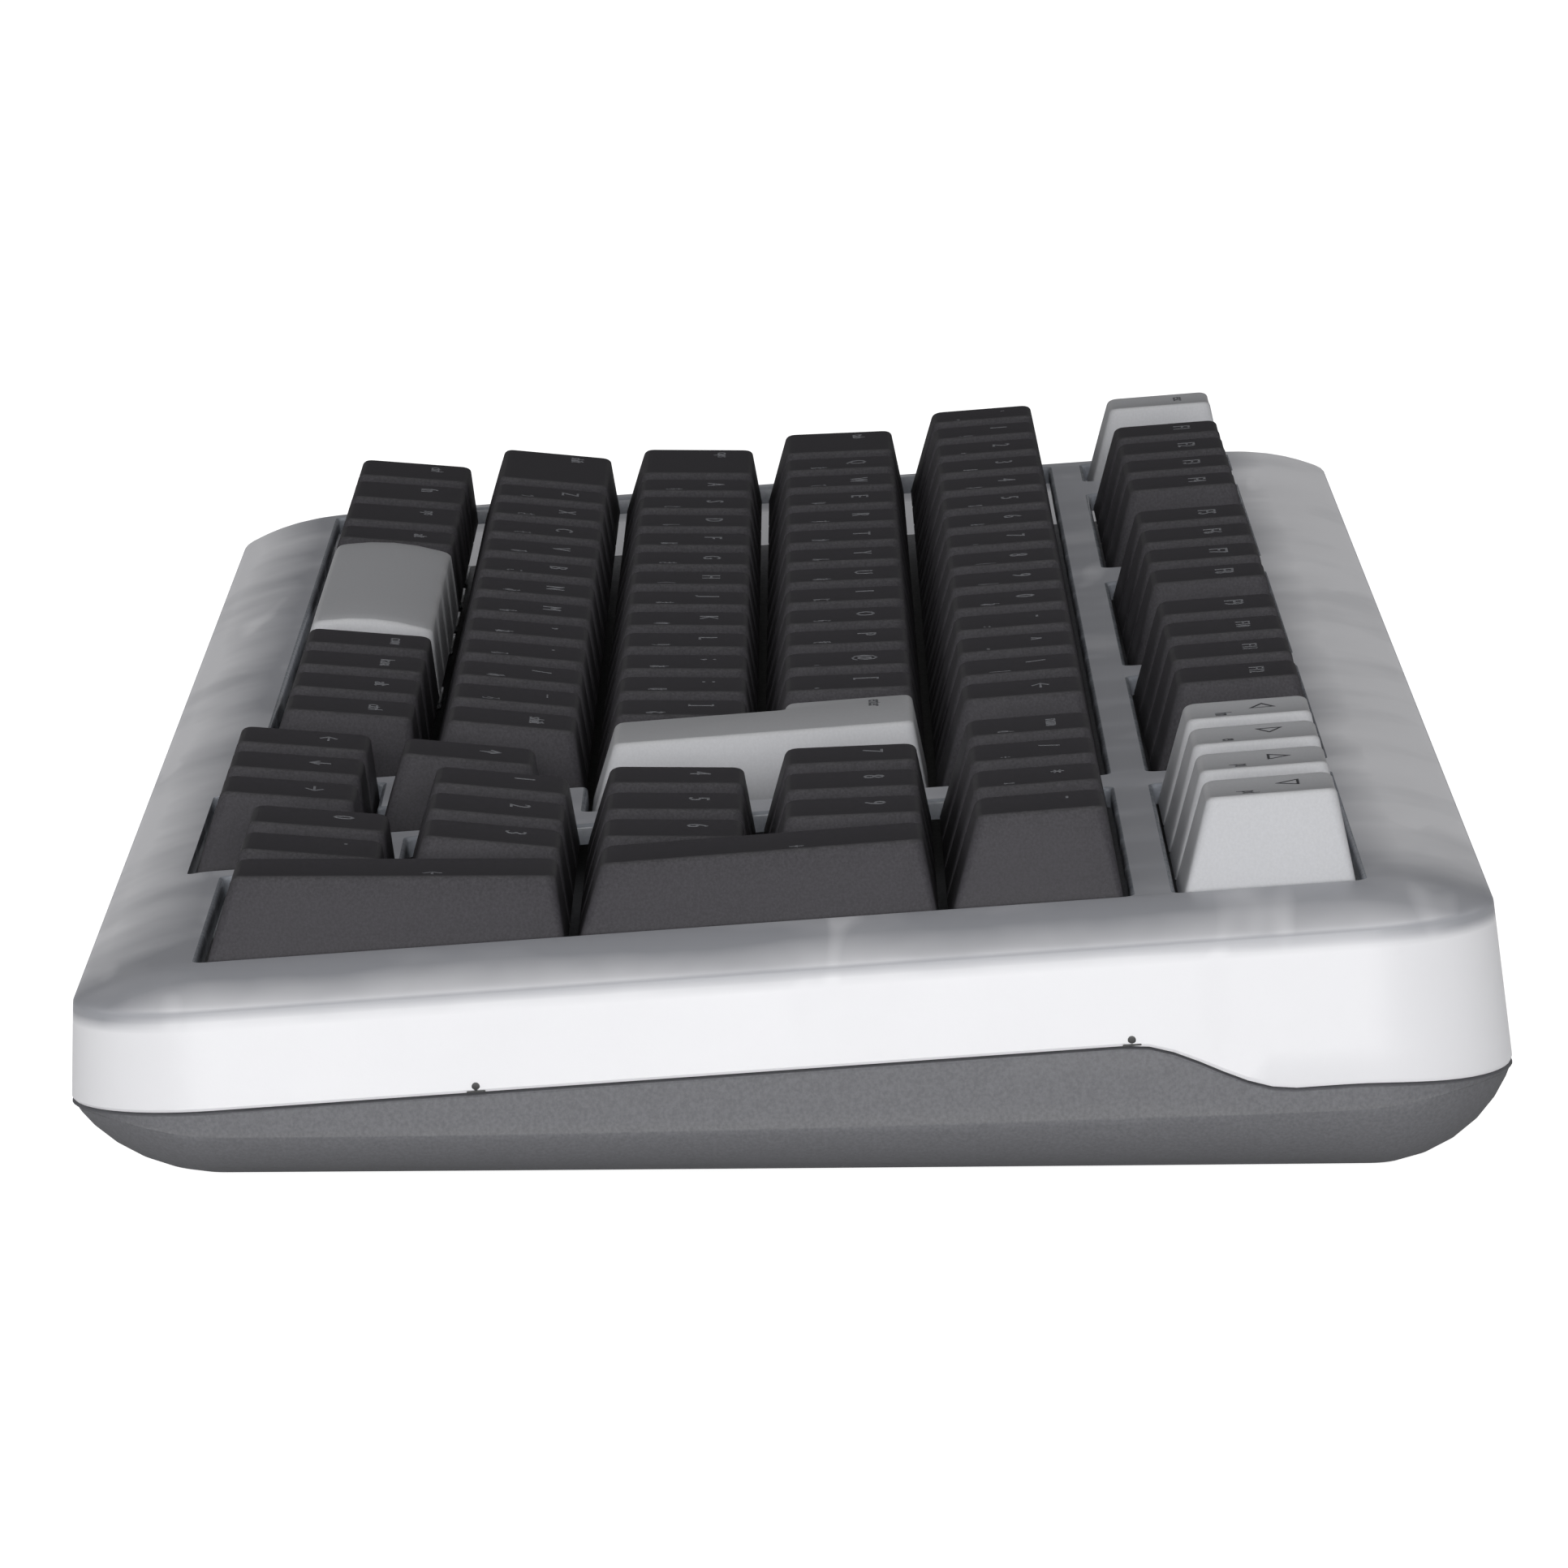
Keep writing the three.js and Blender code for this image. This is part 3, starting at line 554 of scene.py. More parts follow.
def unitX(units):
    return blockRight - units * unit


def run(row, start, marks, **more):
    return [dict(row=row, start=start + i, end=start + i + 1, marks=mark, **more) for i, mark in enumerate(marks)]


def single(row, start, end, *marks, **more):
    return [dict(row=row, start=start, end=end, marks=marks, **more)]


def words(line):
    return [(word,) for word in line.split()]


arrows = {"shift": caps["arrowShift"]}
keyGroups = {
    "esc_key": single(6, 18.5, 19.5, "esc"),
    "f1_to_f4_keys": run(6, 13.75, words("F4 F3 F2 F1")),
    "f5_to_f8_keys": run(6, 9, words("F8 F7 F6 F5")),
    "f9_to_f12_keys": run(6, 4.5, words("F12 F11 F10 F9")),
    "corner_key_1": single(6, 3, 4, "◁", "hm"),
    "corner_key_2": single(6, 2, 3, "▷", "en"),
    "corner_key_3": single(6, 1, 2, "△", "pu"),
    "corner_key_4": single(6, 0, 1, "▽", "pd"),
    "number_row_keys": run(5, 5.5, zip("\\^-0987654321`", "|~=わ)('&%$#\"!~")),
    "backspace_key": single(5, 4.5, 5.5, "←"),
    "num_lock_key": single(5, 3, 4, "num", "cl"),
    "numpad_divide_key": single(5, 2, 3, "/", "÷"),
    "numpad_multiply_key": single(5, 1, 2, "*", "×"),
    "numpad_minus_key": single(5, 0, 1, "-"),
    "tab_key": single(4, 18, 19.5, "tab"),
    "upper_letter_keys": run(4, 6, zip("[@POIUYTREWQ", "゜゛せらになんかすいてた")),
    "enter_key": single(4, 4.5, 6, "enter"),
    "caps_lock_key": single(3, 17.75, 19.5, "caps"),
    "home_row_keys": run(3, 5.75, zip("]:;LKJHGFDSA", "むけれりのまくきはしとち")),
    "left_shift_key": single(2, 17.5, 19.5, "shift"),
    "lower_letter_keys": run(2, 6.5, zip("_/.,MNBVCXZ", "ろめるねもみこひそさつ")),
    "right_shift_key": single(2, 5.5, 6.5, "shift"),
    "left_control_key": single(1, 18.25, 19.5, "ctrl"),
    "function_key": single(1, 17, 18.25, "fn"),
    "left_system_key": single(1, 15.75, 17, "sys"),
    "left_alt_key": single(1, 14.75, 15.75, "alt"),
    "space_bar": single(1, 10.5, 14.75),
    "right_modifier_keys": run(1, 6.5, words("ctrl alt kana conv")),
    "up_arrow_key": single(2, 4.25, 5.25, "↑", **arrows),
    "left_arrow_key": single(1, 5.25, 6.25, "←", **arrows),
    "down_arrow_key": single(1, 4.25, 5.25, "↓", **arrows),
    "right_arrow_key": single(1, 3.25, 4.25, "→", **arrows),
    "numpad_7_to_9_keys": run(4, 1, words("9 8 7")),
    "numpad_4_to_6_keys": run(3, 1, words("6 5 4")),
    "numpad_1_to_3_keys": run(2, 1, words("3 2 1")),
    "numpad_0_and_point_keys": run(1, 1, words(". 0")),
    "numpad_plus_key": single(3, 0, 1, "+", rows=2),
    "numpad_enter_key": single(1, 0, 1, "←", rows=2),
}
paleKeys = {"esc_key", "enter_key", "space_bar", *(f"corner_key_{i + 1}" for i in range(4))}


def capShape(key):
    rows = key.get("rows", 1)
    front, rear = rowTops[key["row"] - 1][0], rowTops[key["row"] + rows - 2][1]
    frontY = rowY(key["row"]) + key.get("shift", 0)
    rearY = rowY(key["row"] + rows - 1) + key.get("shift", 0)
    spare, topSpare = (unit - caps["base"]) / 2, (unit - caps["topWidth"]) / 2
    left, right = unitX(key["end"]), unitX(key["start"])
    base = (left + spare, right - spare, frontY - caps["base"] / 2, rearY + caps["base"] / 2)
    top = (left + topSpare, right - topSpare, frontY + front[0], rearY + rear[0])
    slope = (rear[1] - front[1]) / (top[3] - top[2])
    return {
        "base": base, "top": top, "plane": lambda y: front[1] + (y - top[2]) * slope,
        "centre": ((left + right) / 2, (frontY + rearY) / 2), "wide": max(2, round((key["end"] - key["start"]) * 4)),
        "deep": 4 * rows,
    }


def hollow(shape, key):  # height of the dished or crowned top above its straight edges
    left, right, front, rear = shape["top"]

    def heightAt(x, y):
        across = min(abs(2 * (x - (left + right) / 2) / (right - left)), 1)
        along = min(abs(2 * (y - (front + rear) / 2) / (rear - front)), 1)
        if key["end"] - key["start"] > 4:
            return caps["crown"] * (1 - along * along) - caps["crownEnds"] * across ** 8
        return -caps["dish"] * (1 - across * across)
    return heightAt


def capRings(ringAt, height):
    # The closed wall of a cap: up the inside of the skirt comes first, then out and over the top.
    fillet = caps["fillet"]
    rings = [ringAt(share, caps["wall"] + inward) for share, inward in capProfile["inside"]]
    rings += [ringAt(share, 0.0) for share, _ in capProfile["outside"]]
    for angle, _ in capProfile["fillet"]:
        turn = radians(angle)
        rings.append(ringAt(1 - fillet * (1 - sin(turn)) / height, fillet * (1 - cos(turn))))
    rims = [0.0] * len(capProfile["inside"]) + [rim for _, rim in capProfile["outside"] + capProfile["fillet"]]
    return rings, rims


def plainCap(key):
    shape = capShape(key)
    rise = hollow(shape, key)
    plane, bottom = shape["plane"], caps["bottom"]

    def topAt(x, y):
        return plane(y) + rise(x, y)

    def ringAt(share, inward):
        edge = grow(tuple(mix(a, b, share) for a, b in zip(shape["base"], shape["top"])), -inward)
        radius = max(mix(caps["baseRadius"], caps["topRadius"], share) - inward * 0.7, caps["leastRadius"])
        dip = share ** 3
        return roundedRect(edge, radius, lambda x, y: mix(bottom, plane(y) + rise(x, y) * dip, share),
                           4, shape["wide"] + 2, shape["deep"])

    rings, rims = capRings(ringAt, plane(shape["centre"][1]) - bottom)
    outline = rings[-1]
    centreX, centreY = sum(x for x, _, _ in outline) / len(outline), (shape["top"][2] + shape["top"][3]) / 2
    for share in capProfile["top"]:
        flat = [(mix(centreX, x, share), mix(centreY, y, share)) for x, y, _ in outline]
        rings.append([(x, y, topAt(x, y)) for x, y in flat])
        rims.append(0.0)
    return solid(rings, 0, rimValues(rings, rims)), topAt, shape


def enterCap():
    upper, lower = capShape(dict(row=4, start=4.5, end=6)), capShape(dict(row=3, start=4.5, end=5.75))
    frontHeight, rearHeight = rowTops[2][0][1], rowTops[3][1][1]
    slope = (rearHeight - frontHeight) / (upper["top"][3] - lower["top"][2])

    def plane(x, y):
        return frontHeight + (y - lower["top"][2]) * slope

    def corners(share):
        top, low = (tuple(mix(a, b, share) for a, b in zip(s["base"], s["top"])) for s in (upper, lower))
        return [(low[1], low[2]), (top[1], top[3]), (top[0], top[3]), (top[0], top[2]), (low[0], top[2]),
                (low[0], low[2])]

    def ringAt(share, inward):
        radius = mix(caps["baseRadius"], caps["topRadius"], share)
        return roundedOutline(corners(share), radius, -inward,
                              lambda x, y: mix(caps["bottom"], plane(x, y), share), 5)

    rings, rims = capRings(ringAt, caps["enterHeight"])
    middle = (upper["centre"][0], (upper["centre"][1] + lower["centre"][1]) / 2)
    return solid(rings, 0, rimValues(rings, rims)), plane, {"top": upper["top"], "centre": middle}


legends = {"size": 3.2, "smallSize": 2.6, "wordSize": 2.4, "margin": 2.5, "inset": 1.0, "lowInset": 0.6,
           "tallPlace": 0.6, "thickness": 0.03, "lift": 0.012}
textMeshes = {}


def textShape(line, size):
    if (line, size) not in textMeshes:
        curve = bpy.data.curves.new("legendText", "FONT")
        adjust(curve, body=line, size=size, resolution_u=2, extrude=legends["thickness"] / 2)
        holder = placeObject("legendText", curve)
        mesh = holder.to_mesh()
        points = [tuple(v.co) for v in mesh.vertices]
        faces = [tuple(face.vertices) for face in mesh.polygons]
        holder.to_mesh_clear()
        bpy.data.objects.remove(holder)
        bpy.data.curves.remove(curve)
        textMeshes[(line, size)] = (points, faces)
    return textMeshes[(line, size)]


def legendShells(key, topAt, shape):
    shells = []
    left, right, front, rear = grow(shape["top"], -legends["margin"])
    tall = key.get("rows", 1) > 1
    for place, line in enumerate(key["marks"]):
        size = legends["wordSize"] if len(line) > 2 else legends["smallSize"] if place else legends["size"]
        points, faces = textShape(line, size)
        if not points:
            continue
        (lowX, highX), (lowY, highY), _ = [(min(values), max(values)) for values in zip(*points)]
        startX = left - lowX if place == 0 and not tall else right - highX
        startY = rear - legends["inset"] - highY if place == 0 else front + legends["lowInset"] - lowY
        if tall:
            startY = mix(front, rear, legends["tallPlace"]) - lowY
        moved = [(x + startX, y + startY, z) for x, y, z in points]
        seated = [(x, y, topAt(x, y) + z + legends["lift"]) for x, y, z in moved]
        shells.append((seated, faces, 1, None))
    return shells


stem = {"postRadius": 2.7, "postBottom": -1.2, "postShare": 0.7, "block": (3.4, 2.6), "top": -1.3, "bottom": -5.0,
        "corner": 0.5, "sides": 12}


def stemShells(shape, topAt):  # the cap's round mount, and the switch's sliding stem that it plugs onto
    x, y = shape["centre"]
    top = topAt(x, y) - caps["topThickness"] * stem["postShare"]
    outline = circle(x, y, stem["postRadius"], stem["sides"])
    mount = solid([[(px, py, z) for px, py in outline] for z in (stem["postBottom"], top)])
    halfX, halfY = stem["block"]
    edge = (x - halfX, x + halfX, y - halfY, y + halfY)
    block = solid([roundedRect(edge, stem["corner"], z, 1) for z in (stem["bottom"], stem["top"])], 2)
    return [mount, block]


centres = []


def buildKeycaps():
    for node, keys in keyGroups.items():
        shells = []
        for key in keys:
            cap, topAt, shape = enterCap() if node == "enter_key" else plainCap(key)
            shells += [cap, *stemShells(shape, topAt), *legendShells(key, topAt, shape)]
            centres.append(shape["centre"])
        pale = node in paleKeys
        first, *others = node.split("_")
        name = first + "".join(other.capitalize() for other in others) + "Cap" + ("s" if len(keys) > 1 else "")
        look = ["paleCap", "legendShade", "stemPlastic"] if pale else ["charcoalCap", "legendInk", "stemPlastic"]
        makePiece(name, shells, look, node + "_body", [node])


buildKeycaps()
print("keycaps ready:", len(centres))


def scatterTree():
    tree = bpy.data.node_groups.new("setOutOnPoints", "GeometryNodeTree")
    kinds = {"Points": "Geometry", "Piece": "Object", "Turn": "Vector", "Size": "Float", "Finish": "Material"}
    for label, kind in kinds.items():
        tree.interface.new_socket(name=label, in_out="INPUT", socket_type="NodeSocket" + kind)
    tree.interface.new_socket(name="Pieces", in_out="OUTPUT", socket_type="NodeSocketGeometry")
    source, sink = tree.nodes.new("NodeGroupInput"), tree.nodes.new("NodeGroupOutput")
    info = tree.nodes.new("GeometryNodeObjectInfo")
    spread = tree.nodes.new("GeometryNodeInstanceOnPoints")
    toTurn = tree.nodes.new("FunctionNodeEulerToRotation")
    real = tree.nodes.new("GeometryNodeRealizeInstances")
    paint = tree.nodes.new("GeometryNodeSetMaterial")
    links = (
        (source, "Piece", info, "Object"), (source, "Points", spread, "Points"),
        (info, "Geometry", spread, "Instance"), (source, "Turn", toTurn, "Euler"),
        (toTurn, "Rotation", spread, "Rotation"), (source, "Size", spread, "Scale"),
        (spread, "Instances", real, "Geometry"), (real, "Geometry", paint, "Geometry"),
        (source, "Finish", paint, "Material"), (paint, "Geometry", sink, "Pieces"),
    )
    for start, given, end, taken in links:
        tree.links.new(start.outputs[given], end.inputs[taken])
    return tree


scatter = scatterTree()


def setOut(name, points, prototype, materialName, body, replaces=()):
    mesh = bpy.data.meshes.new(name)
    mesh.from_pydata(points, [], [])
    piece = placeObject(name, mesh)
    layer = piece.modifiers.new("setOut", "NODES")
    layer.node_group = scatter
    turn = (radians(keyPlane["slope"]), 0.0, 0.0)
    values = {"Piece": prototype, "Turn": turn, "Size": 1.0, "Finish": materials[materialName]}
    for item in scatter.interface.items_tree:
        if item.in_out == "INPUT" and item.name in values:
            layer[item.identifier] = values[item.name]
    bakeModifiers(piece)
    if not piece.data.materials:
        piece.data.materials.append(materials[materialName])
    attach(piece, body, replaces)
    bpy.data.objects.remove(prototype)
switches = {  # half width and height of each ring of a housing
    "upper": [(3.9, -7.95), (7.1, -7.95), (7.6, -7.9), (7.7, -7.7), (7.7, -7.1), (7.3, -6.9), (6.9, -5.4),
              (5.3, -2.1), (5.0, -1.95), (3.9, -1.95)],
    "lower": [(6.2, -12.8), (6.7, -12.2), (6.8, -8.2), (5.6, -8.2), (5.6, -11.6)],
}
housingCorner = 0.9


def switchPrototype(name, profile, hole):
    rings = [roundedRect((-half, half, -half, half), housingCorner, z, 1) for half, z in profile]
    return placeObject(name, makeMesh(name, [solid(rings, hole=hole)], localPoint))


def buildSwitches():
    spots = [fromKeyPlane(x, y, 0) for x, y in centres]
    setOut("switchUppers", spots, switchPrototype("upper", switches["upper"], True), "housingPlastic", "case",
           ["switch_housings"])
    setOut("switchLowers", spots, switchPrototype("lower", switches["lower"], False), "blackPlastic", "case")


buildSwitches()
print("switches ready")

shell = {
    "edge": (-blockRight - 14.2, blockRight + 12.4, -22.5, 122.6), "radius": 14.5, "draft": 0.09, "fold": -3.5,
    "wall": 2.2, "seam": -13.3, "seamRear": -18.8, "dropStart": 84, "dropEnd": 101, "dip": 1.1, "gap": 0.15,
    "lipRadius": 0.45, "corner": 0.9, "leastRadius": 1.6,
    "under": [(7, 0), (3, -0.8), (0.8, -2.4)],
    "pillow": [(0.0, -3.5), (0.05, -3.2), (0.3, -2.9), (0.8, -2.6), (1.6, -2.25), (2.8, -1.75), (4.4, -1.2),
               (6.2, -0.72), (8.2, -0.34), (10.2, -0.08), (11.6, 0.0)],
}
ringSteps = (14, 24, 48)  # steps round a corner, along x and along y
rearCurl = (106, 123)  # where the case's rear end starts and stops curling


def seamAt(y):
    share = min(max((y - shell["dropStart"]) / (shell["dropEnd"] - shell["dropStart"]), 0), 1)
    fall = (1 - cos(pi * share)) / 2
    return mix(shell["seam"], shell["seamRear"], fall) - shell["dip"] * smoothStep(*rearCurl, y)


def caseRing(outward, radius, heightAt):
    return roundedRect(grow(shell["edge"], outward), radius, heightAt, *ringSteps)


def wallRing(inward, share, lift):
    # A ring of the case's wall: share 0 is at the seam and 1 at the fold.
    top = shell["fold"]
    spread = shell["draft"] * (top - shell["seam"]) * (1 - share)
    radius = shell["radius"] + spread - inward
    return caseRing(spread - inward, radius, lambda x, y: mix(seamAt(y) + lift, top, share))


def pillowRing(inward, height):
    return caseRing(-inward, max(shell["radius"] - inward, shell["leastRadius"]), height)


def openingOutlines():
    half = unit / 2
    front, second, third, rear = -half, unit - half, 2 * unit - half, 4 * unit + half
    low, middle, high = (y + caps["arrowShift"] for y in (-half, half, unit + half))
    main = [(6.5, front), (6.5, second), (5.5, second), (5.5, third), (4.5, third), (4.5, rear), (19.5, rear),
            (19.5, front)]
    numpad = [(0, front), (0, rear), (4, rear), (4, second), (3, second), (3, front)]
    cross = [(3.25, low), (3.25, middle), (4.25, middle), (4.25, high), (5.25, high), (5.25, middle), (6.25, middle),
             (6.25, low)]
    below, above = rowY(6) - half, rowY(6) + half
    across = [(0, 4), (4.5, 8.5), (9, 13), (13.75, 17.75), (18.5, 19.5)]
    strips = [[(a, below), (a, above), (b, above), (b, below)] for a, b in across]
    return [[(unitX(units), y) for units, y in cells] for cells in (main, numpad, cross, *strips)]


lipTurns = (0, 22, 45, 68, 90)


def openingCutter(corners):
    lip, corner = shell["lipRadius"], shell["corner"]
    rings = [roundedOutline(corners, corner, 0, -8)]
    for turn in map(radians, lipTurns):
        rings.append(roundedOutline(corners, corner, lip * (1 - cos(turn)), lip * (sin(turn) - 1)))
    rings.append(roundedOutline(corners, corner, lip, 3))
    cutter = makeCutter("openingCutter", rings)
    # the openings' cut faces take the lip finish, painted paler as a highlight
    cutter.data.materials.append(materials["glassyLip"])
    return cutter


rearSlots = {"usb": (120, 4.8, 1.95), "switch": (88, 5, 1.7), "height": -11, "depth": 6}


def rearRing(ring, y):  # stands a flat ring up in the rear wall
    return [(x, y, z) for x, z, _ in reversed(ring)]


def slotCutter(x, halfWidth, halfHeight):
    y, z, depth = shell["edge"][3], rearSlots["height"], rearSlots["depth"]
    edge = (x - halfWidth, x + halfWidth, z - halfHeight, z + halfHeight)
    ring = roundedRect(edge, halfHeight * 0.9, 0, 5)
    rings = [rearRing(ring, y + depth), rearRing(ring, y - depth)]  # fault: in this order the slots stay uncut
    return makeCutter("slotCutter", rings)


def buildTopShell():
    wall, gap = shell["wall"], shell["gap"]
    rings = [pillowRing(wall + inward, -wall + height) for inward, height in shell["under"]]
    rings += [wallRing(wall, share, gap) for share in (0.85, 0.5, 0.2, 0.0)]
    rings += [wallRing(0.25, 0.0, gap), wallRing(0.0, 0.03, gap)]
    rings += [wallRing(0.0, share, gap) for share in (0.25, 0.5, 0.75, 0.92)]
    foldRing = len(rings)
    rings += [pillowRing(inward, height) for inward, height in shell["pillow"]]
    # the fold rings get a rim value, which the frosted colour turns into a painted shade line along the fold
    rims = rimValues(rings, [1.0 if i in (foldRing, foldRing + 1) else 0.0 for i in range(len(rings))])
    piece = makePiece("frostedTopShell", [solid(rings, 0, rims)], ["frostedShell", "glassyLip"], "case",
                      ["top_case"])
    cutters = [openingCutter(corners) for corners in openingOutlines()]
    cutPiece(piece, cutters + [slotCutter(*rearSlots["usb"]), slotCutter(*rearSlots["switch"])])


# dark catch marks on the end wall: painted shadow of clips inside the shell
catchShadows = {"ys": (18.4, 84.6), "radius": 0.42, "sides": 14, "rise": 0.75, "proud": 0.05, "sunk": 0.6,
        "tabHalf": 0.95, "tabLow": 0.6, "tabHigh": 0.42, "tabSunk": 0.5, "tabProud": 0.12}


def buildCatchShadows():  # the two small dark catches at the foot of the end wall, dark as a painted shadow: they stand in for the shadows of clips inside the shell
    proud = catchShadows["proud"]
    for i, y in enumerate(catchShadows["ys"]):
        z = seamAt(y) + catchShadows["rise"]
        wallX = shell["edge"][1] + (shell["fold"] - z) * shell["draft"]
        rings = [[(wallX + x, py, pz) for py, pz in circle(y, z, catchShadows["radius"] * grown, catchShadows["sides"])]
                 for x, grown in ((-catchShadows["sunk"], 1.0), (proud * 0.5, 1.0), (proud, 0.7))]
        half = catchShadows["tabHalf"]
        tab = roundedRect((y - half, y + half, z - catchShadows["tabLow"], z - catchShadows["tabHigh"]), 0.08, 0, 2)
        tabRings = [[(wallX + x, py, pz) for py, pz, _ in tab] for x in (-catchShadows["tabSunk"], catchShadows["tabProud"])]
        makePiece(f"wallCatch{i + 1}", [solid(rings), solid(tabRings)], ["blackPlastic"], "case")


buildTopShell()
buildCatchShadows()
print("top shell ready")

tray = {"floor": -22.6, "inside": -20.0, "thickness": 2.0, "run": 18.0, "startAngle": 18.0, "below": 0.3,
        "crease": 0.85, "seamOut": 0.6, "cornerMore": 0.8, "leastRadius": 2.0}
crease = {"height": -16.5, "bow": 0.00017, "middle": -4, "front": (8, 22), "frontRise": 1.4, "rearRise": 1.5}


def creaseAt(y):
    height = crease["height"] + crease["bow"] * (y - crease["middle"]) ** 2
    ends = crease["frontRise"] * smoothStep(*crease["front"], -y) + crease["rearRise"] * smoothStep(*rearCurl, y)
    return levelHeight(height + ends, y)


def bowlRing(angle):
    # Under the crease the wall curls in to the flat underside, a quarter of an ellipse from the start angle.
    start, turn = radians(tray["startAngle"]), radians(angle)
    inward = tray["below"] + tray["run"] * (cos(start) - cos(turn)) / cos(start)
    share = (sin(turn) - sin(start)) / (1 - sin(start))
    radius = max(shell["radius"] + tray["cornerMore"] - inward, tray["leastRadius"])
    return caseRing(tray["crease"] - inward, radius,
                    lambda x, y: mix(creaseAt(y), levelHeight(tray["floor"], y), share))


def bandRing(share):
    # The upright band between the crease, share 0, and the seam, share 1.
    outward = mix(tray["seamOut"], tray["crease"], share)
    radius = shell["radius"] + tray["cornerMore"]
    return caseRing(outward, radius, lambda x, y: mix(creaseAt(y), seamAt(y) - shell["gap"], share))


def innerRing(inward, level):
    radius = max(shell["radius"] - inward, tray["leastRadius"])
    return caseRing(-inward, radius,
                    lambda x, y: mix(levelHeight(tray["inside"], y), seamAt(y) - shell["gap"], level))


feet = {"x": 152, "width": 36, "length": 17, "thickness": 3, "hingeY": 100, "hingeZ": -20.1, "beyond": 0.9,
        "corner": 1.2, "pocketSide": 1.2, "pocketRear": 1.4, "pocketDepth": 4.4, "pocketWall": 1.4,
        "pinRadius": 1.2, "pinEnd": 0.9, "pinBevel": 0.3, "pinBeyond": 1.9, "pinSides": 16,
        "ridges": 5, "ridgeStart": 2.2, "ridgePitch": 1.5, "ridgeHalf": 9}


def levelBox(name, edge, low, high):
    return makeCutter(name, [roundedRect(edge, 1.0, z, 4) for z in (low, high)], fromTable)


def pocketEdge(x, extra):
    half = feet["width"] / 2 + feet["pocketSide"] + extra
    rear = feet["hingeY"] + feet["thickness"] / 2 + feet["pocketRear"] + extra
    return (x - half, x + half, feet["hingeY"] - feet["length"] - feet["pocketSide"] - extra, rear)


screws = {"columns": (-182, 182), "rows": (-14, 113), "head": 2.4, "shaft": 1.3, "sunk": 3.3, "headHeight": 1.8,
          "length": 9.0, "spare": 0.3, "tray": 2, "sides": 20, "holeSides": 24, "holeFrom": -40,
          "crossHalf": 1.4, "crossWidth": 0.22, "crossDepth": 0.9}
screwSpots = [(x, y) for x in screws["columns"] for y in screws["rows"]]


def screwBottom(y):
    return levelHeight(tray["inside"] - screws["tray"] + screws["sunk"], y)


def screwHole(x, y):
    outline = circle(x, y, screws["head"] + screws["spare"], screws["holeSides"])
    heights = (screws["holeFrom"], screwBottom(y) + screws["headHeight"] + screws["spare"])
    return makeCutter("screwHole", [[(px, py, z) for px, py in outline] for z in heights])


def buildTray():
    thick, gap = tray["thickness"], shell["gap"]
    rings = [bowlRing(angle) for angle in (90, 80, 70, 60, 50, 40, 30, 22, tray["startAngle"])]
    creaseRing = len(rings)
    rings += [bandRing(share) for share in (0.04, 0.3, 0.6, 0.96)]
    rings += [wallRing(0.2, 0.0, -gap), wallRing(thick, 0.0, -gap)]
    rings += [innerRing(thick + 0.3, 0.5), innerRing(thick + 4, 0.15), innerRing(14, 0.0)]
    rims = rimValues(rings, [0.9 if i == creaseRing else 0.0 for i in range(len(rings))])
    piece = makePiece("lowerTray", [solid(rings, 0, rims)], ["trayPlastic"], "case", ["bottom_case"])
    roof = tray["floor"] + feet["pocketDepth"]
    sides = (-feet["x"], feet["x"])
    wall = feet["pocketWall"]
    shells = [levelBox("pocketShell", pocketEdge(x, wall), tray["floor"] + 0.4, roof + wall) for x in sides]
    cutPiece(piece, shells, "UNION")
    cuts = [levelBox("pocketCut", pocketEdge(x, 0), tray["floor"] - 3, roof) for x in sides]
    cutPiece(piece, cuts + [screwHole(x, y) for x, y in screwSpots])


buildTray()
print("tray ready")


def buildFoot(side, sign):
    x, half = sign * feet["x"], feet["width"] / 2
    low = feet["hingeZ"] - feet["thickness"] / 2
    high = low + feet["thickness"]
    end = feet["hingeY"] - feet["length"]
    edge = (x - half, x + half, end, feet["hingeY"] + feet["beyond"])
    profile = ((0.5, low), (0.15, low + 0.15), (0, low + 0.5), (0, high - 0.5), (0.15, high - 0.15), (0.5, high))
    rings = [roundedRect(grow(edge, -inward), feet["corner"], z, 4) for inward, z in profile]
    shells = [solid(rings)]
    reach = feet["ridgeHalf"]
    for i in range(feet["ridges"]):  # finger ridges near the free end
        y = end + feet["ridgeStart"] + i * feet["ridgePitch"]
        ridge = [roundedRect((x - reach, x + reach, y - grown, y + grown), grown * 0.9, z, 3)
                 for grown, z in ((0.2, low - 0.22), (0.45, low), (0.45, low + 0.3))]
        shells.append(solid(ridge))
    shells.append(crossPin(x, half + feet["pinBeyond"]))
    makePiece(side + "FlipFoot", shells, ["footPlastic", "platedSteel"], side + "_foot", [side + "_flip_foot"],
              fromTable)


def crossPin(x, half):
    bevel, radius, end = feet["pinBevel"], feet["pinRadius"], feet["pinEnd"]
    profile = ((-half, end), (-half + bevel, radius), (half - bevel, radius), (half, end))
    return solid([[(x + along, y, z) for y, z in circle(feet["hingeY"], feet["hingeZ"], size, feet["pinSides"])]
                  for along, size in profile], 1)


pads = {"x": 158, "width": 40, "depth": 5, "corner": 2.3, "rows": {"Front": -1, "Rear": 108.6}, "bottom": -23.0,
        "top": -22.05}


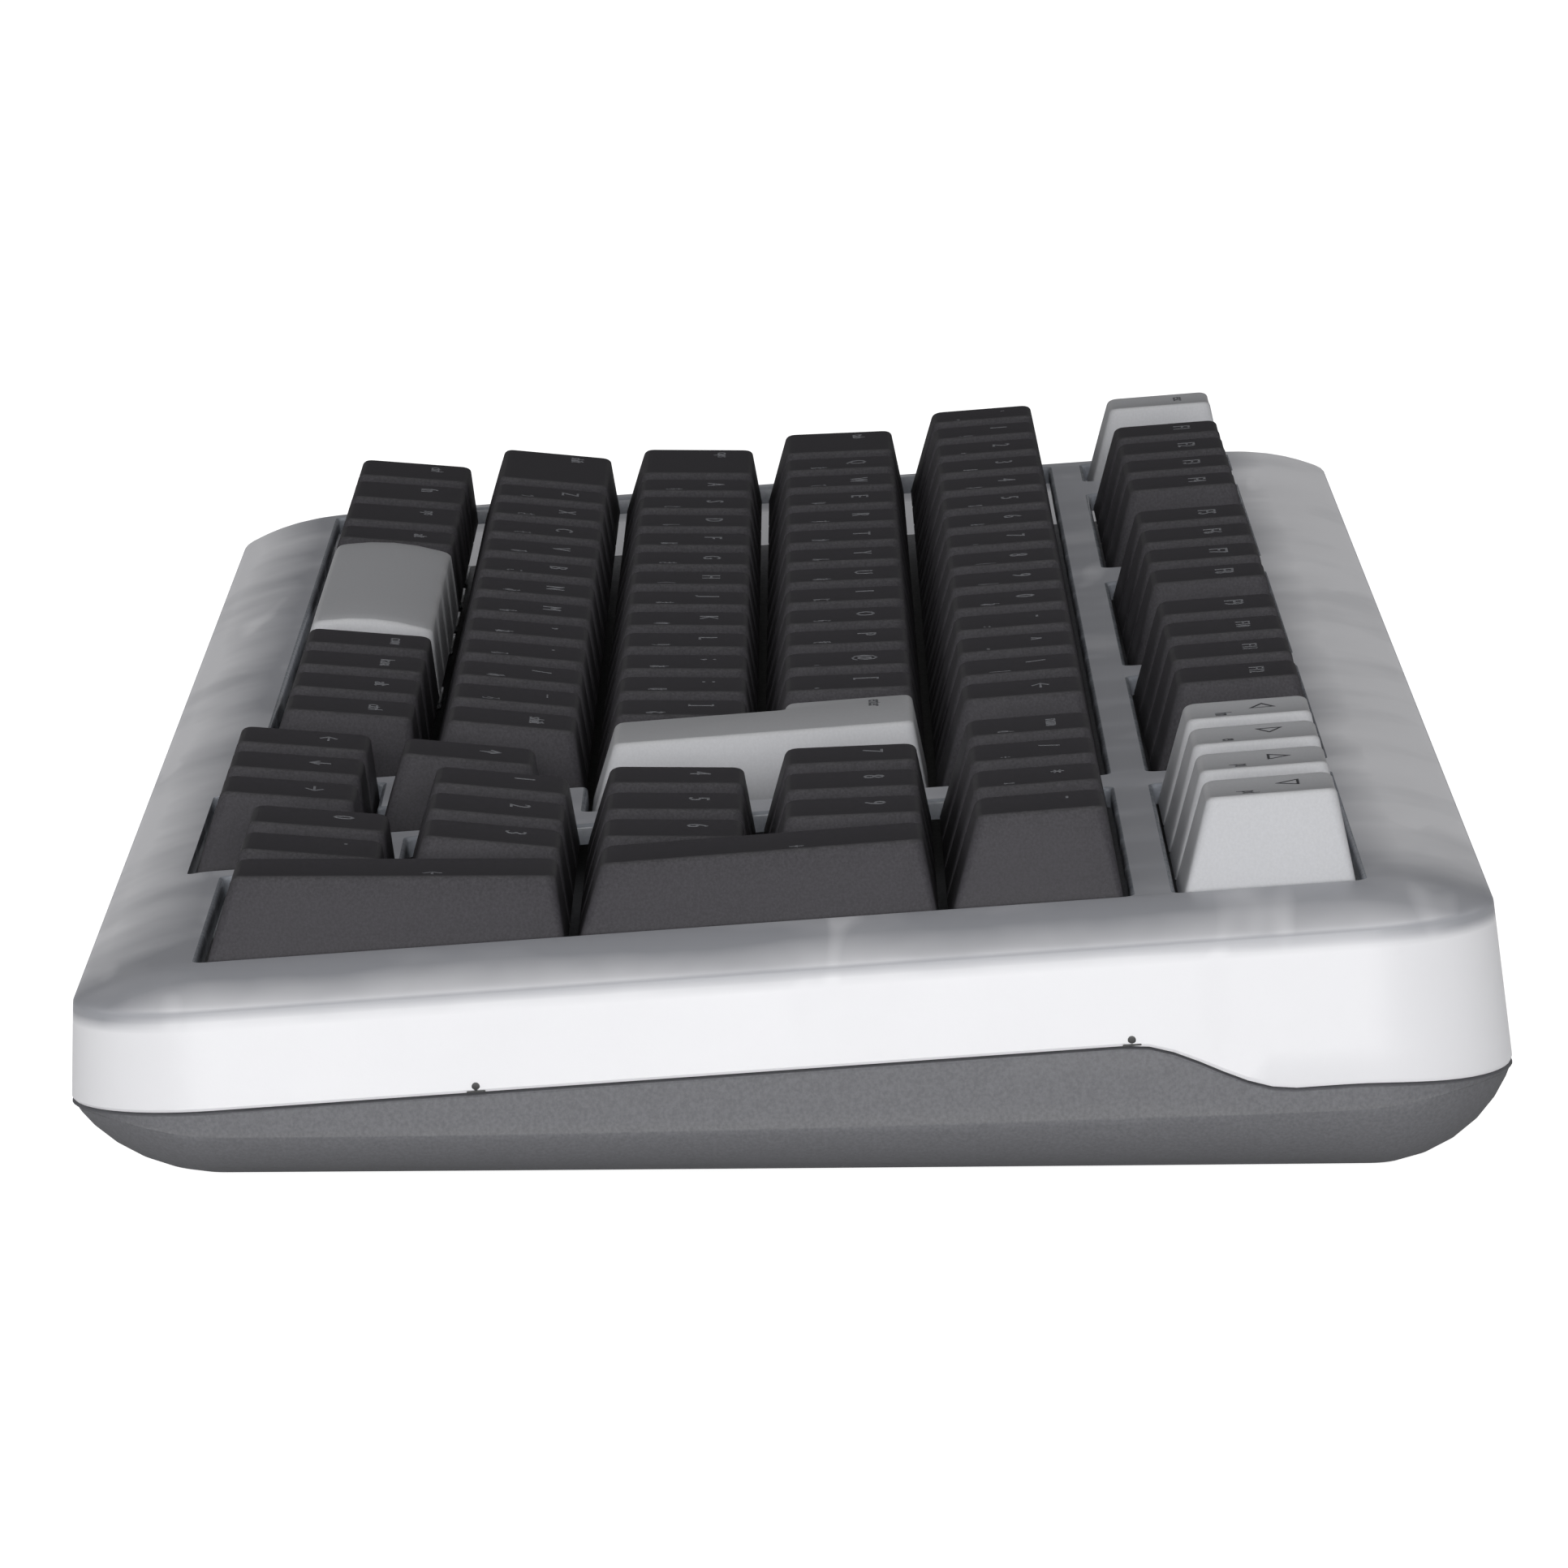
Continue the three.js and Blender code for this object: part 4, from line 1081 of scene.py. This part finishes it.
def buildPad(side, sign, label, y):
    x, bottom = sign * pads["x"], pads["bottom"]
    edge = (x - pads["width"] / 2, x + pads["width"] / 2, y - pads["depth"] / 2, y + pads["depth"] / 2)
    profile = ((0.55, bottom), (0.25, bottom + 0.1), (0.05, bottom + 0.35), (0, pads["top"]))
    rings = [roundedRect(grow(edge, -inward), pads["corner"] - inward, z, 6) for inward, z in profile]
    node = f"{side}_{label.lower()}_pad"
    makePiece(side + label + "Pad", [solid(rings)], ["softRubber"], "case", [node], fromTable)


def screwPrototype():
    deep, head, shaft = screws["headHeight"], screws["head"], screws["shaft"]
    profile = [(1.9, 0.0), (2.25, 0.12), (head, 0.4), (head, deep), (shaft, deep), (shaft, screws["length"])]
    body = solid([[(x, y, z) for x, y in circle(0, 0, radius, screws["sides"])] for radius, z in profile])
    prototype = placeObject("screw", makeMesh("screw", [body], localPoint))
    long, wide = screws["crossHalf"], screws["crossWidth"]
    bar = roundedRect((-long, long, -wide, wide), 0.1, 0, 1)
    cutters = []
    for across, along in ((1, 0), (0, 1)):
        turned = [(x * across - y * along, x * along + y * across) for x, y, _ in bar]
        rings = [[(x, y, z) for x, y in turned] for z in (-0.05, screws["crossDepth"])]
        cutters.append(makeCutter("crossCut", rings, localPoint))
    cutPiece(prototype, cutters)
    return prototype


def buildFittings():
    for side, sign in (("left", -1), ("right", 1)):
        buildFoot(side, sign)
        for label, y in pads["rows"].items():
            buildPad(side, sign, label, y)
    spots = [fromKeyPlane(x, y, screwBottom(y)) for x, y in screwSpots]
    nodes = [f"case_screw_{i + 1}" for i in range(len(spots))]
    setOut("caseScrews", spots, screwPrototype(), "platedSteel", "case", nodes)


knob = {"x": 86, "width": 3.6, "half": 1.3, "inner": 117.6, "face": 123.2, "corner": 0.3, "ribs": 3,
        "ribPitch": 0.9, "ribHalf": 0.2, "ribProud": 0.18}


def buildKnob():
    z, half, face, ribHalf = rearSlots["height"], knob["half"], knob["face"], knob["ribHalf"]
    left, right = knob["x"] - knob["width"] / 2, knob["x"] + knob["width"] / 2
    profile = ((0.0, knob["inner"]), (0.0, face - 0.25), (0.12, face - 0.05), (0.3, face))
    rings = [rearRing(roundedRect(grow((left, right, z - half, z + half), -inward), knob["corner"], 0, 2), y)
             for inward, y in profile]
    shells = [solid(rings)]
    for i in range(knob["ribs"]):
        x = knob["x"] + (i - 1) * knob["ribPitch"]
        rib = roundedRect((x - ribHalf, x + ribHalf, z - half + ribHalf, z + half - ribHalf), 0.15, 0, 2)
        shells.append(solid([rearRing(rib, y) for y in (face - ribHalf, face + knob["ribProud"])]))
    makePiece("powerKnob", shells, ["blackPlastic"], "power_switch_slider", ["power_switch_knob"])


buildFittings()
buildKnob()
print("fittings ready")

nodeFinishes = {"switch_plate": "paintedPlate", "circuit_board": "solderMask", "silicone_pad": "siliconeSheet",
                "battery": "batteryWrap", "usb_port": "platedSteel", "power_switch": "blackPlastic"}
for node, materialName in nodeFinishes.items():
    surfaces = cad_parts[node].data.materials
    surfaces.clear()
    surfaces.append(materials[materialName])

print("all ready")
